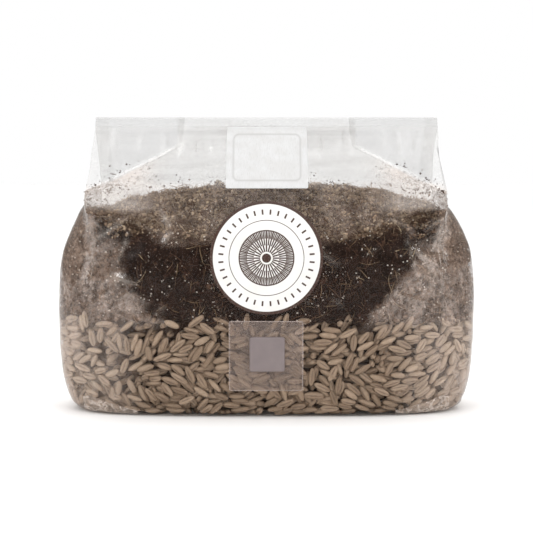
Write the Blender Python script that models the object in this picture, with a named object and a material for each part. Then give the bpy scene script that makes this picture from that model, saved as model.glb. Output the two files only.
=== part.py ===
"""A mushroom grow bag: a gusseted clear film bag sealed along its top, with grain under a bulk substrate.

Metres, +Z up. The origin is the middle of the flat bottom. The front faces -Y and the width runs along X.
"""
import math

import bmesh
import bpy
import numpy as np
from mathutils import Matrix, Vector
from mathutils.bvhtree import BVHTree
from mathutils.geometry import tessellate_polygon

# --- Driving dimensions -------------------------------------------------------------------------------------

BAG_HEIGHT = 0.1440         # from the floor to the top of the sealed edge
SEAL_BAND = 0.0042          # height of the sealed edge
SEAL_THICKNESS = 0.0022     # all layers of film pressed together
TOP_HALF_WIDTH = 0.08475    # half the width of the flat bag
WALL = 0.0005               # film
GUSSET = 0.044              # depth of the side gusset, from its corner crease to its middle fold
SHOULDER_Z = 0.1015         # where the gusset starts to tuck in
APEX_Z = 0.1295             # where the two sides of the tucked gusset meet
FOLD_RADIUS = 0.0012        # of the gusset's middle fold
BOTTOM_ROUND = 0.009        # how fast the bottom's round edge turns upright
LEAN_EXTRA = 0.5            # the header leans, so its walls are this much thicker across than through
LONGEST_MITRE = 0.011       # limit on how far the inner corner of a sharp fold lies from the outer one
MITRE_SHARE = 0.6           # and the same as a share of the fold's own width
CAVITY_TOP_Z = 0.1290       # top of the space inside the film

# Height, half width, half depth in the middle of the front, half depth at the corner crease.
OUTLINE = (
    (0.0000, 0.0905, 0.0345, 0.0345),
    (0.0008, 0.0935, 0.0370, 0.0370),
    (0.0025, 0.0963, 0.0392, 0.0392),
    (0.0060, 0.0983, 0.0412, 0.0412),
    (0.0120, 0.1003, 0.0430, 0.0430),
    (0.0210, 0.1022, 0.0443, 0.0443),
    (0.0320, 0.1033, 0.0450, 0.0450),
    (0.0440, 0.1035, 0.0453, 0.0453),
    (0.0580, 0.1034, 0.0453, 0.0448),
    (0.0700, 0.1026, 0.0452, 0.0440),
    (0.0765, 0.1016, 0.0450, 0.0432),
    (0.0820, 0.1002, 0.0446, 0.0425),
    (0.0875, 0.0982, 0.0436, 0.0415),
    (0.0930, 0.0955, 0.0419, 0.0403),
    (0.0980, 0.0925, 0.0397, 0.0388),
    (0.1040, 0.0875, 0.0363, 0.0365),
    (0.1100, 0.0864, 0.0322, 0.0322),
    (0.1160, 0.0861, 0.0273, 0.0260),
    (0.1220, 0.0859, 0.0217, 0.0190),
    (0.1280, 0.0856, 0.0154, 0.0123),
    (0.1340, 0.0853, 0.0086, 0.0063),
    (0.1401, 0.0850, 0.0009, 0.0007),
)
CREASE_HALF_WIDTH = 0.0867  # from the middle of the front to the corner crease at the shoulder
BODY_POWER = 3.0            # squareness of the filled body seen from above
CURVE_SAMPLES = 181         # points along a quarter of that section, before it is cut into equal faces
CORNER_SHARE = 0.35         # part of the half side panel that becomes the tucked fold higher up
TUCK_FROM_Z = 0.0780        # the rounded body turns into the folded header between these heights
TUCK_TO_Z = 0.1020
SIDE_SWELL = 0.004          # how far the side panel bows out at the shoulder

FRONT_STEPS = 6             # faces across half the front, a tucked fold and half the side panel
FOLD_STEPS = 3
SIDE_STEPS = 2

GAP = 0.0003                # clearance between pieces that touch
FILLING_TOP_Z = 0.1170
GRAIN_TOP_Z = 0.0460
GRAIN_WAVE = 0.0012         # height of the waves in the grain's levelled top
GRAIN_WAVE_LENGTHS = (0.066, 0.105)   # along X and along Y
HEAP_EDGE_Z = 0.0820        # where the substrate meets the front film, in the middle
HEAP_CORNER_RISE = 0.0130   # how much higher it stands in the corners
HEAP_CREST_Z = 0.1105
HEAP_END_DROP = 0.0080      # how far the crest falls towards the bag's ends
HEAP_HALF_DEPTH = 0.0450
HEAP_HALF_WIDTH = 0.0860
HEAP_REACH = 1.25           # the heap's rule holds this far out, as a share of its half width
HEAP_ROUNDNESS = 1.8        # of the heap from front to back
BLOCK_BOTTOM_Z = -0.0100    # blocks that cut the filling into its two layers
BLOCK_HALF_SIZE = (0.110, 0.050)
BLOCK_STEPS = (22, 10)

HOLE_RADIUS = 0.0015        # breathing holes behind the filter
HOLE_SPACING = 0.0100
HOLE_Z = 0.1243
HOLE_ROD_LENGTH = 0.0200
HOLE_SIDES = 12

LABEL_RADIUS = 0.0268
LABEL_Z = 0.0768
LABEL_THICKNESS = 0.0003
LABEL_RINGS = 7
LABEL_SIDES = 48
FILTER_SIZE = (0.0395, 0.0298)     # width and height seen from the front
FILTER_CENTRE = (0.0002, 0.1243)   # across and up
FILTER_THICKNESS = 0.0007
PORT_SIZE = (0.0352, 0.0336)
PORT_CENTRE = (-0.0002, 0.0302)
PORT_THICKNESS = 0.0003
PAD_SIZE = (0.0168, 0.0167)
PAD_CENTRE = (0.0003, 0.0311)
PAD_THICKNESS = 0.0016
PATCH_STEP = 0.004                 # face size of what is stuck on the film
RAY_FROM_Y = -1.0                  # the front of the bag is found from this far ahead of it
SHARP_ANGLE = math.radians(35)

COLOURS = {
    "bag_film": ((0.86, 0.85, 0.83), 0.12),
    "filter_patch": ((0.85, 0.85, 0.84), 0.90),
    "round_label": ((0.90, 0.89, 0.86), 0.45),
    "port_film": ((0.62, 0.58, 0.54), 0.15),
    "port_pad": ((0.26, 0.22, 0.21), 0.60),
    "grain_bed": ((0.42, 0.30, 0.20), 0.75),
    "substrate_bed": ((0.060, 0.030, 0.020), 0.95),
}


# --- Scene --------------------------------------------------------------------------------------------------

for old in list(bpy.data.objects):
    bpy.data.objects.remove(old, do_unlink=True)

parts = bpy.data.collections.new("mushroom_grow_bag")
cutters = bpy.data.collections.new("cutters")
bpy.context.scene.collection.children.link(parts)
bpy.context.scene.collection.children.link(cutters)


def material(name):
    colour, roughness = COLOURS[name]
    made = bpy.data.materials.new(name)
    made.use_nodes = True
    shader = made.node_tree.nodes["Principled BSDF"]
    shader.inputs["Base Color"].default_value = (*colour, 1.0)
    shader.inputs["Roughness"].default_value = roughness
    shader.inputs["Metallic"].default_value = 0.0
    return made


def add_object(name, mesh, collection):
    obj = bpy.data.objects.new(name, mesh)
    collection.objects.link(obj)
    return obj


def add_part(name, mesh):
    mesh.materials.append(material(name))
    mesh.shade_smooth()
    mesh.set_sharp_from_angle(angle=SHARP_ANGLE)
    return add_object(name, mesh, parts)


def add_cutter(name, mesh):
    obj = add_object(name, mesh, cutters)
    obj.hide_render = True
    obj.display_type = "WIRE"
    return obj


def combine(obj, other, operation):
    step = obj.modifiers.new(f"{operation.lower()} {other.name}", "BOOLEAN")
    step.operation = operation
    step.object = other
    step.solver = "EXACT"


def cap_triangles(points, loop):
    """A flat outline, which may be hollow in places, as triangles that turn the same way as the outline."""
    corners = [Vector(points[i]) for i in loop]
    triangles = []
    for a, b, c in tessellate_polygon([corners]):
        triangles.append((loop[a], loop[b], loop[c]))
    spin = sum((corners[i - 1].cross(corners[i]) for i in range(len(corners))), Vector())
    a, b, c = (Vector(points[i]) for i in triangles[0])
    if (b - a).cross(c - a).dot(spin) < 0.0:
        triangles = [(c, b, a) for a, b, c in triangles]
    return triangles


def mesh_from(name, points, faces):
    bm = bmesh.new()
    verts = [bm.verts.new(p) for p in points]
    for face in faces:
        for corners in [face] if len(face) < 5 else cap_triangles(points, face):
            bm.faces.new([verts[i] for i in corners])
    mesh = bpy.data.meshes.new(name)
    bm.to_mesh(mesh)
    bm.free()
    return mesh


# --- The bag's shape: one closed section of the film at each height -----------------------------------------

def outline_at(z):
    table = np.array(OUTLINE)
    return [float(np.interp(z, table[:, 0], table[:, column])) for column in (1, 2, 3)]


def smooth_step(low, high, value):
    t = min(max((value - low) / (high - low), 0.0), 1.0)
    return t * t * (3.0 - 2.0 * t)


def rounded_quarter(half_width, half_depth):
    """A quarter of the filled body's section, from the middle of the front to the middle of the side."""
    angle = np.linspace(0.0, math.pi / 2, CURVE_SAMPLES)
    x = half_width * np.sin(angle) ** (2.0 / BODY_POWER)
    y = -half_depth * np.cos(angle) ** (2.0 / BODY_POWER)
    length = np.concatenate(([0.0], np.cumsum(np.hypot(np.diff(x), np.diff(y)))))
    front_share = TOP_HALF_WIDTH / (TOP_HALF_WIDTH + GUSSET)
    corner_share = front_share + CORNER_SHARE * (1.0 - front_share)
    shares = np.concatenate((
        np.linspace(0.0, front_share, FRONT_STEPS + 1),
        np.linspace(front_share, corner_share, FOLD_STEPS + 1)[1:],
        np.linspace(corner_share, 1.0, SIDE_STEPS + 1)[1:],
    ))
    at = shares * length[-1]
    return np.column_stack((np.interp(at, length, x), np.interp(at, length, y)))


def fold_corners(z, half_width, corner):
    """The gusset's corner crease, the edge of its side panel and that panel's middle, once tucked in."""
    tucked = min(max((z - SHOULDER_Z) / (APEX_Z - SHOULDER_Z), 0.0), 1.0)
    shoulder_depth = outline_at(SHOULDER_Z)[2]
    crease = np.array((min(half_width, CREASE_HALF_WIDTH), -corner))
    edge_y = min(max(shoulder_depth * (1.0 - tucked), FOLD_RADIUS), corner / 2 if tucked == 1.0 else corner)
    reach = (GUSSET * tucked) ** 2 - (corner - edge_y) ** 2
    edge = np.array((crease[0] - math.sqrt(max(reach, 0.0)), -edge_y))
    side = np.array((half_width if tucked == 0.0 else edge[0] + SIDE_SWELL * (1.0 - tucked), 0.0))
    return crease, edge, side


def inner_corner(before, corner, after, distance):
    """Where two walls that meet at a corner still meet once both have moved inwards by the distance."""
    normals = []
    for along in (corner - before, after - corner):
        normals.append(np.array((-along[1], along[0])) / np.linalg.norm(along))
    move = np.linalg.solve(np.array(normals), (distance, distance))
    longest = min(LONGEST_MITRE, MITRE_SHARE * np.linalg.norm(after - corner))
    return corner + move * min(1.0, longest / np.linalg.norm(move))


def folded_quarter(z, half_width, middle, corner, inset):
    """The same quarter where the gusset is tucked in: front panel, fold, then half the side panel."""
    crease, edge, side = fold_corners(z, half_width, corner)
    if inset > 0.0:
        on_front = crease + (-crease[0], 2.0 * (corner - middle))
        if np.linalg.norm(edge - crease) > 0.0:
            outer_crease = crease
            crease = inner_corner(on_front, outer_crease, edge, inset)
            edge = inner_corner(outer_crease, edge, side, inset)
        else:
            crease = edge = inner_corner(on_front, crease, side, inset)
        side = side - (inset, 0.0)
        middle -= inset
    across = np.linspace(0.0, 1.0, FRONT_STEPS + 1)
    front = np.column_stack((crease[0] * across, -(middle + (-crease[1] - middle) * across ** 2)))
    inward = np.linspace(0.0, 1.0, FOLD_STEPS + 1)[1:, None]
    fold = (1.0 - inward) * crease + inward * edge
    back = np.linspace(0.0, 1.0, SIDE_STEPS + 1)[1:]
    bow = 1.0 - (1.0 - back) ** 2
    swell = np.column_stack((edge[0] + (side[0] - edge[0]) * bow, edge[1] * (1.0 - back)))
    return np.vstack((front, fold, swell))


def section(z, inset=0.0):
    """The film's whole section at a height, starting in the middle of the front and going round by +X."""
    half_width, middle, corner = outline_at(z)
    folded = smooth_step(TUCK_FROM_Z, TUCK_TO_Z, z)
    quarter = (1.0 - folded) * rounded_quarter(half_width - inset, middle - inset)
    quarter += folded * folded_quarter(z, half_width, middle, corner, inset)
    back = quarter[-2::-1] * [1.0, -1.0]
    right = np.vstack((quarter, back))
    left = right[-2:0:-1] * [-1.0, 1.0]
    return np.vstack((right, left))


def bag_shape(name, distance=0.0, top_z=BAG_HEIGHT):
    """The bag's shape up to a height, smaller all round by the distance."""
    rings = []
    for z in (row[0] for row in OUTLINE if row[0] <= top_z):
        lift = math.exp(-z / BOTTOM_ROUND)
        lean = 1.0 + LEAN_EXTRA * smooth_step(TUCK_FROM_Z, TUCK_TO_Z, z)
        ring = section(z, distance * math.sqrt(1.0 - lift * lift) * lean)
        rings.append(np.column_stack((ring, np.full(len(ring), z + distance * lift))))
    around = len(rings[0])
    return mesh_from(name, np.vstack(rings), loft_faces(len(rings), around))


def loft_faces(rings, around):
    """Triangles between neighbouring sections, and a cap on the lowest and the highest.

    The diagonals rise towards the corner creases from both sides, so that a crease's two walls never cross.
    """
    faces = []
    half = around // 2
    for ring in range(rings - 1):
        for k in range(around):
            a = ring * around + k
            b = ring * around + (k + 1) % around
            before_crease = k % half < FRONT_STEPS or half // 2 <= k % half < half - FRONT_STEPS
            if before_crease:
                faces += [(a, b, b + around), (a, b + around, a + around)]
            else:
                faces += [(a, b, a + around), (b, b + around, a + around)]
    faces.append(tuple(range(around))[::-1])
    faces.append(tuple(range((rings - 1) * around, rings * around)))
    return faces


# --- Film ---------------------------------------------------------------------------------------------------

def box_mesh(name, size, centre):
    bm = bmesh.new()
    bmesh.ops.create_cube(bm, size=1.0)
    bmesh.ops.scale(bm, vec=size, verts=bm.verts)
    bmesh.ops.translate(bm, vec=centre, verts=bm.verts)
    mesh = bpy.data.meshes.new(name)
    bm.to_mesh(mesh)
    bm.free()
    return mesh


def make_seal_band():
    size = (2 * TOP_HALF_WIDTH, SEAL_THICKNESS, SEAL_BAND)
    return add_cutter("seal_band", box_mesh("seal_band", size, (0, 0, BAG_HEIGHT - SEAL_BAND / 2)))


def make_breathing_holes():
    """Short rods through the front film only, in one row behind the filter."""
    bm = bmesh.new()
    front_y = -outline_at(HOLE_Z)[1]
    for k in (-1, 0, 1):
        made = bmesh.ops.create_cone(
            bm,
            cap_ends=True,
            segments=HOLE_SIDES,
            radius1=HOLE_RADIUS,
            radius2=HOLE_RADIUS,
            depth=HOLE_ROD_LENGTH,
        )
        bmesh.ops.rotate(bm, verts=made["verts"], matrix=Matrix.Rotation(math.pi / 2, 3, "X"))
        bmesh.ops.translate(bm, verts=made["verts"], vec=(k * HOLE_SPACING, front_y, HOLE_Z))
    mesh = bpy.data.meshes.new("breathing_holes")
    bm.to_mesh(mesh)
    bm.free()
    return add_cutter("breathing_holes", mesh)


def make_film():
    mesh = bag_shape("bag_film")
    film = add_part("bag_film", mesh)
    combine(film, make_seal_band(), "UNION")
    combine(film, add_cutter("cavity", bag_shape("cavity", WALL, CAVITY_TOP_Z)), "DIFFERENCE")
    combine(film, make_breathing_holes(), "DIFFERENCE")
    return mesh


# --- Contents -----------------------------------------------------------------------------------------------

def grain_top(x, y):
    across = math.sin(math.tau * x / GRAIN_WAVE_LENGTHS[0])
    through = math.cos(math.tau * y / GRAIN_WAVE_LENGTHS[1])
    return GRAIN_TOP_Z + GRAIN_WAVE * across * through


def heap_top(x, y):
    across = min(abs(x) / HEAP_HALF_WIDTH, HEAP_REACH)
    edge = HEAP_EDGE_Z + HEAP_CORNER_RISE * across ** 3
    crest = HEAP_CREST_Z - HEAP_END_DROP * across ** 6
    through = min(abs(y) / HEAP_HALF_DEPTH, 1.0)
    return edge + (crest - edge) * (1.0 - through ** HEAP_ROUNDNESS)


def slab_mesh(name, bottom, top):
    """A block wider than the bag, between two heights given as functions of x and y."""
    xs, ys = (np.linspace(-BLOCK_HALF_SIZE[k], BLOCK_HALF_SIZE[k], BLOCK_STEPS[k] + 1) for k in (0, 1))
    points = [(x, y, bottom(x, y)) for y in ys for x in xs]
    points += [(x, y, top(x, y)) for y in ys for x in xs]
    row = len(xs)
    layer = len(xs) * len(ys)
    faces = []
    for j in range(len(ys) - 1):
        for i in range(row - 1):
            a = j * row + i
            faces.append((a, a + row, a + row + 1))
            faces.append((a, a + row + 1, a + 1))
            faces.append((a + layer, a + layer + row + 1, a + layer + row))
            faces.append((a + layer, a + layer + 1, a + layer + row + 1))
    for i in range(row - 1):
        back = layer - row
        faces.append((i, i + 1, i + 1 + layer, i + layer))
        faces.append((back + i, back + i + layer, back + i + 1 + layer, back + i + 1))
    for j in range(len(ys) - 1):
        a = j * row
        b = a + row - 1
        faces.append((a, a + layer, a + row + layer, a + row))
        faces.append((b, b + row, b + row + layer, b + layer))
    return mesh_from(name, points, faces)


def make_contents():
    """Both layers fill the space inside the film, and share one wavy surface between them."""
    inside = WALL + GAP
    below = slab_mesh("grain_block", lambda x, y: BLOCK_BOTTOM_Z, grain_top)
    above = slab_mesh("substrate_block", lambda x, y: grain_top(x, y) + GAP, heap_top)
    for name, block in (("grain_bed", below), ("substrate_bed", above)):
        part = add_part(name, bag_shape(name, inside, FILLING_TOP_Z))
        combine(part, add_cutter(name + "_block", block), "INTERSECT")


# --- What is stuck on the film ------------------------------------------------------------------------------

def drape(bm, shape, gap, thickness):
    """Moves a flat sheet, drawn in X and Z, against the front of the bag and gives it a thickness."""
    for v in bm.verts:
        place = shape.ray_cast(Vector((v.co.x, RAY_FROM_Y, v.co.z)), Vector((0.0, 1.0, 0.0)))[0]
        v.co.y = place.y - gap
    made = bmesh.ops.extrude_face_region(bm, geom=bm.faces[:])
    front = [v for v in made["geom"] if isinstance(v, bmesh.types.BMVert)]
    bmesh.ops.translate(bm, verts=front, vec=(0.0, -thickness, 0.0))


def add_sheet(name, bm, shape, gap, thickness):
    drape(bm, shape, gap, thickness)
    bmesh.ops.recalc_face_normals(bm, faces=bm.faces)
    mesh = bpy.data.meshes.new(name)
    bm.to_mesh(mesh)
    bm.free()
    add_part(name, mesh)


def rectangle(size, centre):
    bm = bmesh.new()
    counts = [max(1, round(side / PATCH_STEP)) for side in size]
    bmesh.ops.create_grid(bm, x_segments=counts[0], y_segments=counts[1], size=0.5)
    for v in bm.verts:
        v.co = (centre[0] + size[0] * v.co.x, 0.0, centre[1] + size[1] * v.co.y)
    return bm


def disc(radius, centre_z, rings):
    bm = bmesh.new()
    bmesh.ops.create_circle(bm, cap_ends=True, segments=LABEL_SIDES, radius=radius)
    for ring in range(rings - 1):
        middle = max(bm.faces, key=lambda f: len(f.verts))
        bmesh.ops.inset_individual(bm, faces=[middle], thickness=radius / rings)
    middle = max(bm.faces, key=lambda f: len(f.verts))
    bmesh.ops.poke(bm, faces=[middle])
    for v in bm.verts:
        v.co = (v.co.x, 0.0, centre_z + v.co.y)
    return bm


def make_patches(film_mesh):
    bm = bmesh.new()
    bm.from_mesh(film_mesh)
    shape = BVHTree.FromBMesh(bm)
    bm.free()
    gap = 1.5 * GAP
    add_sheet("filter_patch", rectangle(FILTER_SIZE, FILTER_CENTRE), shape, 2 * GAP, FILTER_THICKNESS)
    add_sheet("round_label", disc(LABEL_RADIUS, LABEL_Z, LABEL_RINGS), shape, gap, LABEL_THICKNESS)
    add_sheet("port_film", rectangle(PORT_SIZE, PORT_CENTRE), shape, gap, PORT_THICKNESS)
    pad_gap = gap + PORT_THICKNESS + gap
    add_sheet("port_pad", rectangle(PAD_SIZE, PAD_CENTRE), shape, pad_gap, PAD_THICKNESS)


film_shape = make_film()
make_contents()
make_patches(film_shape)
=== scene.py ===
# %% [markdown]
# # A mushroom grow bag
#
# A grow bag is a clear plastic bag of cereal grain with dark substrate heaped on it. This lesson builds
# one around a fixed frame of solids: the film, the filling you see through it, and what is stuck on its
# front. The frame is loaded first. Nothing built here may make the bag larger.

# %% Load the frame
import math

import bmesh
import bpy
import numpy as np
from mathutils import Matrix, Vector, noise
from mathutils.bvhtree import BVHTree


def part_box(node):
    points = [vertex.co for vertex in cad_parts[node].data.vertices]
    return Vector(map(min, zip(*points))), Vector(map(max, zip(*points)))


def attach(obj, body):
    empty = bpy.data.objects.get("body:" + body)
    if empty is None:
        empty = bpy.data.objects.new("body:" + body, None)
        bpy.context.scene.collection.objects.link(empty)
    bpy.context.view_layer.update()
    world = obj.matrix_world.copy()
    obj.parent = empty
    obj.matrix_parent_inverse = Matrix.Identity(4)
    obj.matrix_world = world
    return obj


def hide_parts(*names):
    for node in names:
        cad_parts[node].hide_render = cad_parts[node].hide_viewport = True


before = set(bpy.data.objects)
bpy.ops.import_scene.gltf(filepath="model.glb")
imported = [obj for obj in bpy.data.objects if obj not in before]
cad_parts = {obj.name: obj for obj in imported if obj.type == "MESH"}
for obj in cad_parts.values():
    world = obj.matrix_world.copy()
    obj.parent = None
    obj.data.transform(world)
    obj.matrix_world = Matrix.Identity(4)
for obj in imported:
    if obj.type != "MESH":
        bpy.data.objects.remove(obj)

scene = bpy.context.scene
mm = 0.001
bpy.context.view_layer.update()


def put_in_scene(obj):
    scene.collection.objects.link(obj)
    return obj

# %% [markdown]
# ## Camera
#
# The bag is looked at nearly level, from a little above its middle. A long lens from 0.8 m keeps the sides
# almost parallel, as product pictures do.

# %% Camera
VIEW_DISTANCE = 0.8
VIEW_ELEVATION = math.radians(4)
LOOK_AT_Z = 0.0697
LENS = 108.07
SENSOR_WIDTH = 36.0

camera = put_in_scene(bpy.data.objects.new("camera", bpy.data.cameras.new("camera")))
camera.data.lens = LENS
camera.data.sensor_width = SENSOR_WIDTH
camera.data.clip_start = 0.05
camera.location = (
    0.0,
    -VIEW_DISTANCE * math.cos(VIEW_ELEVATION),
    LOOK_AT_Z + VIEW_DISTANCE * math.sin(VIEW_ELEVATION),
)
camera.rotation_euler = (math.pi / 2 - VIEW_ELEVATION, 0.0, 0.0)
scene.camera = camera
print("camera at", tuple(round(v, 3) for v in camera.location))

# %% [markdown]
# ## Floor and light
#
# Clear film shows only what it mirrors, so the light is planned for the film: large soft boxes to the sides
# and above, which it mirrors as pale bands, and a dim front, so that the dark substrate stays dark behind it.
# The background is plain white for the camera alone; everything else sees a grey surround, bright above.

# %% Floor and light
FLOOR_HALF_SIZE = 6.0
LIGHTS_AIM_AT = Vector((0.0, 0.0, 0.07))


def soft_box(name, place, size, power):
    light = bpy.data.lights.new(name, "AREA")
    light.shape = "RECTANGLE"
    light.size, light.size_y = size
    light.energy = power
    obj = put_in_scene(bpy.data.objects.new(name, light))
    obj.location = place
    obj.visible_camera = False
    obj.rotation_euler = (LIGHTS_AIM_AT - obj.location).to_track_quat("-Z", "Y").to_euler()


def studio_world(seen, above, sides, front):
    """White where the camera looks past the bag. What the scene mirrors is bright above and dim in front."""
    world = bpy.data.worlds.new("studio")
    scene.world = world
    world.use_nodes = True
    nodes, links = world.node_tree.nodes, world.node_tree.links
    background = nodes["Background"]
    background.inputs["Color"].default_value = (1.0, 1.0, 1.0, 1.0)
    heading = nodes.new("ShaderNodeSeparateXYZ")
    links.new(nodes.new("ShaderNodeTexCoord").outputs["Generated"], heading.inputs[0])

    def level(value, low, high, to_low, to_high):
        made = nodes.new("ShaderNodeMapRange")
        made.interpolation_type = "SMOOTHSTEP"
        links.new(value, made.inputs["Value"])
        made.inputs["From Min"].default_value = low
        made.inputs["From Max"].default_value = high
        for name, amount in (("To Min", to_low), ("To Max", to_high)):
            if isinstance(amount, bpy.types.NodeSocket):
                links.new(amount, made.inputs[name])
            else:
                made.inputs[name].default_value = amount
        return made.outputs["Result"]

    round_about = level(heading.outputs["Y"], -0.8, 0.2, front, sides)
    surround = level(heading.outputs["Z"], 0.2, 0.75, round_about, above)
    path = nodes.new("ShaderNodeLightPath")
    strength = level(path.outputs["Is Camera Ray"], 0.0, 1.0, surround, seen)
    links.new(strength, background.inputs["Strength"])


# %% Floor
def object_from(bm, name):
    mesh = bpy.data.meshes.new(name)
    bm.to_mesh(mesh)
    bm.free()
    return bpy.data.objects.new(name, mesh)


def make_floor():
    bm = bmesh.new()
    bmesh.ops.create_grid(bm, x_segments=1, y_segments=1, size=FLOOR_HALF_SIZE)
    floor = put_in_scene(object_from(bm, "floor"))
    paint = bpy.data.materials.new("floor_white")
    paint.use_nodes = True
    shader = paint.node_tree.nodes["Principled BSDF"]
    shader.inputs["Base Color"].default_value = (0.97, 0.965, 0.96, 1.0)
    shader.inputs["Roughness"].default_value = 0.7
    shader.inputs["Specular IOR Level"].default_value = 0.2
    floor.data.materials.append(paint)


# %% Set up the studio
make_floor()
studio_world(seen=1.0, above=1.36, sides=0.30, front=0.08)
soft_box("light_above", (0.0, 0.05, 1.10), (0.9, 0.7), 1.2)
for name, side in (("left", -1), ("right", 1)):
    soft_box("light_" + name, (side * 0.85, -0.40, 0.45), (0.20, 0.9), 1.2)
for name, side in (("left", -1), ("right", 1)):
    soft_box("light_front_" + name, (side * 0.75, -1.05, 0.45), (0.35, 0.5), 3.6)
soft_box("light_behind", (0.0, 1.0, 0.75), (1.2, 0.5), 3.0)
scene.view_settings.view_transform = "Standard"

# %% [markdown]
# ## The bag's shape
#
# A gusseted bag is a flat tube of film. Filled, its lower part swells into a rounded block, and the part
# above the filling leans together to a straight sealed edge while the sides fold inwards. One rule gives the
# film's section at any height: rounded below, folded above, and blended between. The outline repeats the one
# that the solids were made from, and a smooth curve runs through its rows.

# %% The bag's shape
BAG_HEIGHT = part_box("bag_film")[1].z
TOP_HALF_WIDTH = 84.75 * mm
GUSSET = 44.0 * mm
SHOULDER_Z = 107.0 * mm
APEX_Z = 129.5 * mm
FOLD_RADIUS = 0.5 * mm
CREASE_HALF_WIDTH = 86.7 * mm
BODY_POWER = 3.0
TUCK_FROM_Z = 78.0 * mm
TUCK_TO_Z = 102.0 * mm
SIDE_SWELL = 4.0 * mm
CORNER_SHARE = 0.35

# Height, half width, half depth in the middle of the front, half depth at the corner crease, in millimetres.
OUTLINE = mm * np.array((
    (0.0, 90.5, 34.5, 34.5),
    (0.8, 93.5, 37.0, 37.0),
    (2.5, 96.3, 39.2, 39.2),
    (6.0, 98.3, 41.2, 41.2),
    (12.0, 100.3, 43.0, 43.0),
    (21.0, 102.2, 44.3, 44.3),
    (32.0, 103.3, 45.0, 45.0),
    (44.0, 103.5, 45.3, 45.3),
    (58.0, 103.4, 45.3, 44.8),
    (70.0, 102.6, 45.2, 44.0),
    (82.0, 100.2, 44.6, 42.5),
    (93.0, 95.5, 41.9, 40.3),
    (98.0, 92.5, 39.7, 38.8),
    (104.0, 87.5, 36.3, 36.5),
    (110.0, 86.4, 32.2, 32.2),
    (116.0, 86.1, 27.3, 26.0),
    (122.0, 85.9, 21.7, 19.0),
    (128.0, 85.6, 15.4, 12.3),
    (134.0, 85.3, 8.6, 6.3),
    (139.8, 85.0, 0.5, 0.4),
    (144.0, 84.75, 0.25, 0.2),
))


# %% Read the outline
def outline_at(z):
    heights, values = OUTLINE[:, 0], OUTLINE[:, 1:]
    slopes = np.gradient(values, heights, axis=0)
    slopes[-2:] = (values[-1] - values[-2]) / (heights[-1] - heights[-2])
    row = int(np.clip(np.searchsorted(heights, z) - 1, 0, len(heights) - 2))
    step = heights[row + 1] - heights[row]
    t = min(max((z - heights[row]) / step, 0.0), 1.0)
    ahead = t * t * (3.0 - 2.0 * t)
    leave = t * (1.0 - t) ** 2
    arrive = -t * t * (1.0 - t)
    return (1.0 - ahead) * values[row] + ahead * values[row + 1] + step * (
        leave * slopes[row] + arrive * slopes[row + 1]
    )


def smooth_step(low, high, value):
    t = np.clip((value - low) / (high - low), 0.0, 1.0)
    return t * t * (3.0 - 2.0 * t)


# %% The film's section
FRONT_STEPS = 60
FOLD_STEPS = 18
SIDE_STEPS = 12
QUARTER = FRONT_STEPS + FOLD_STEPS + SIDE_STEPS


def rounded_quarter(half_width, half_depth):
    angle = np.linspace(0.0, math.pi / 2, 361)
    x = half_width * np.sin(angle) ** (2.0 / BODY_POWER)
    y = -half_depth * np.cos(angle) ** (2.0 / BODY_POWER)
    length = np.concatenate(([0.0], np.cumsum(np.hypot(np.diff(x), np.diff(y)))))
    front = TOP_HALF_WIDTH / (TOP_HALF_WIDTH + GUSSET)
    corner = front + CORNER_SHARE * (1.0 - front)
    shares = np.concatenate((
        np.linspace(0.0, front, FRONT_STEPS + 1),
        np.linspace(front, corner, FOLD_STEPS + 1)[1:],
        np.linspace(corner, 1.0, SIDE_STEPS + 1)[1:],
    ))
    at = shares * length[-1]
    return np.column_stack((np.interp(at, length, x), np.interp(at, length, y)))


def folded_quarter(z, half_width, middle, corner):
    tucked = min(max((z - SHOULDER_Z) / (APEX_Z - SHOULDER_Z), 0.0), 1.0)
    shoulder_depth = outline_at(SHOULDER_Z)[2]
    crease = np.array((min(half_width, CREASE_HALF_WIDTH), -corner))
    deepest = corner / 2 if tucked == 1.0 else corner
    edge_y = min(max(shoulder_depth * (1.0 - tucked), FOLD_RADIUS), deepest)
    reach = (GUSSET * tucked) ** 2 - (corner - edge_y) ** 2
    edge = np.array((crease[0] - math.sqrt(max(reach, 0.0)), -edge_y))
    side = np.array((half_width if tucked == 0.0 else edge[0] + SIDE_SWELL * (1.0 - tucked), 0.0))
    across = np.linspace(0.0, 1.0, FRONT_STEPS + 1)
    front = np.column_stack((crease[0] * across, -(middle + (corner - middle) * across ** 2)))
    inward = np.linspace(0.0, 1.0, FOLD_STEPS + 1)[1:, None]
    fold = (1.0 - inward) * crease + inward * edge
    back = np.linspace(0.0, 1.0, SIDE_STEPS + 1)[1:]
    bow = 1.0 - (1.0 - back) ** 2
    swell = np.column_stack((edge[0] + (side[0] - edge[0]) * bow, edge[1] * (1.0 - back)))
    return np.vstack((front, fold, swell))


def section(z):
    """The film's section at a height: front middle, then round by +X, back and -X."""
    half_width, middle, corner = outline_at(z)
    folded = float(smooth_step(TUCK_FROM_Z, TUCK_TO_Z, z))
    quarter = (1.0 - folded) * rounded_quarter(half_width, middle)
    quarter += folded * folded_quarter(z, half_width, middle, corner)
    right = np.vstack((quarter, quarter[-2::-1] * [1.0, -1.0]))
    return np.vstack((right, right[-2:0:-1] * [-1.0, 1.0]))


def inset_ring(ring, distance):
    """The section moved inwards by a distance, square to itself."""
    along = np.roll(ring, -1, axis=0) - np.roll(ring, 1, axis=0)
    along /= np.linalg.norm(along, axis=1)[:, None]
    return ring + distance * np.column_stack((-along[:, 1], along[:, 0]))


AROUND = 4 * QUARTER
print("points round the film:", AROUND)

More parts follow.
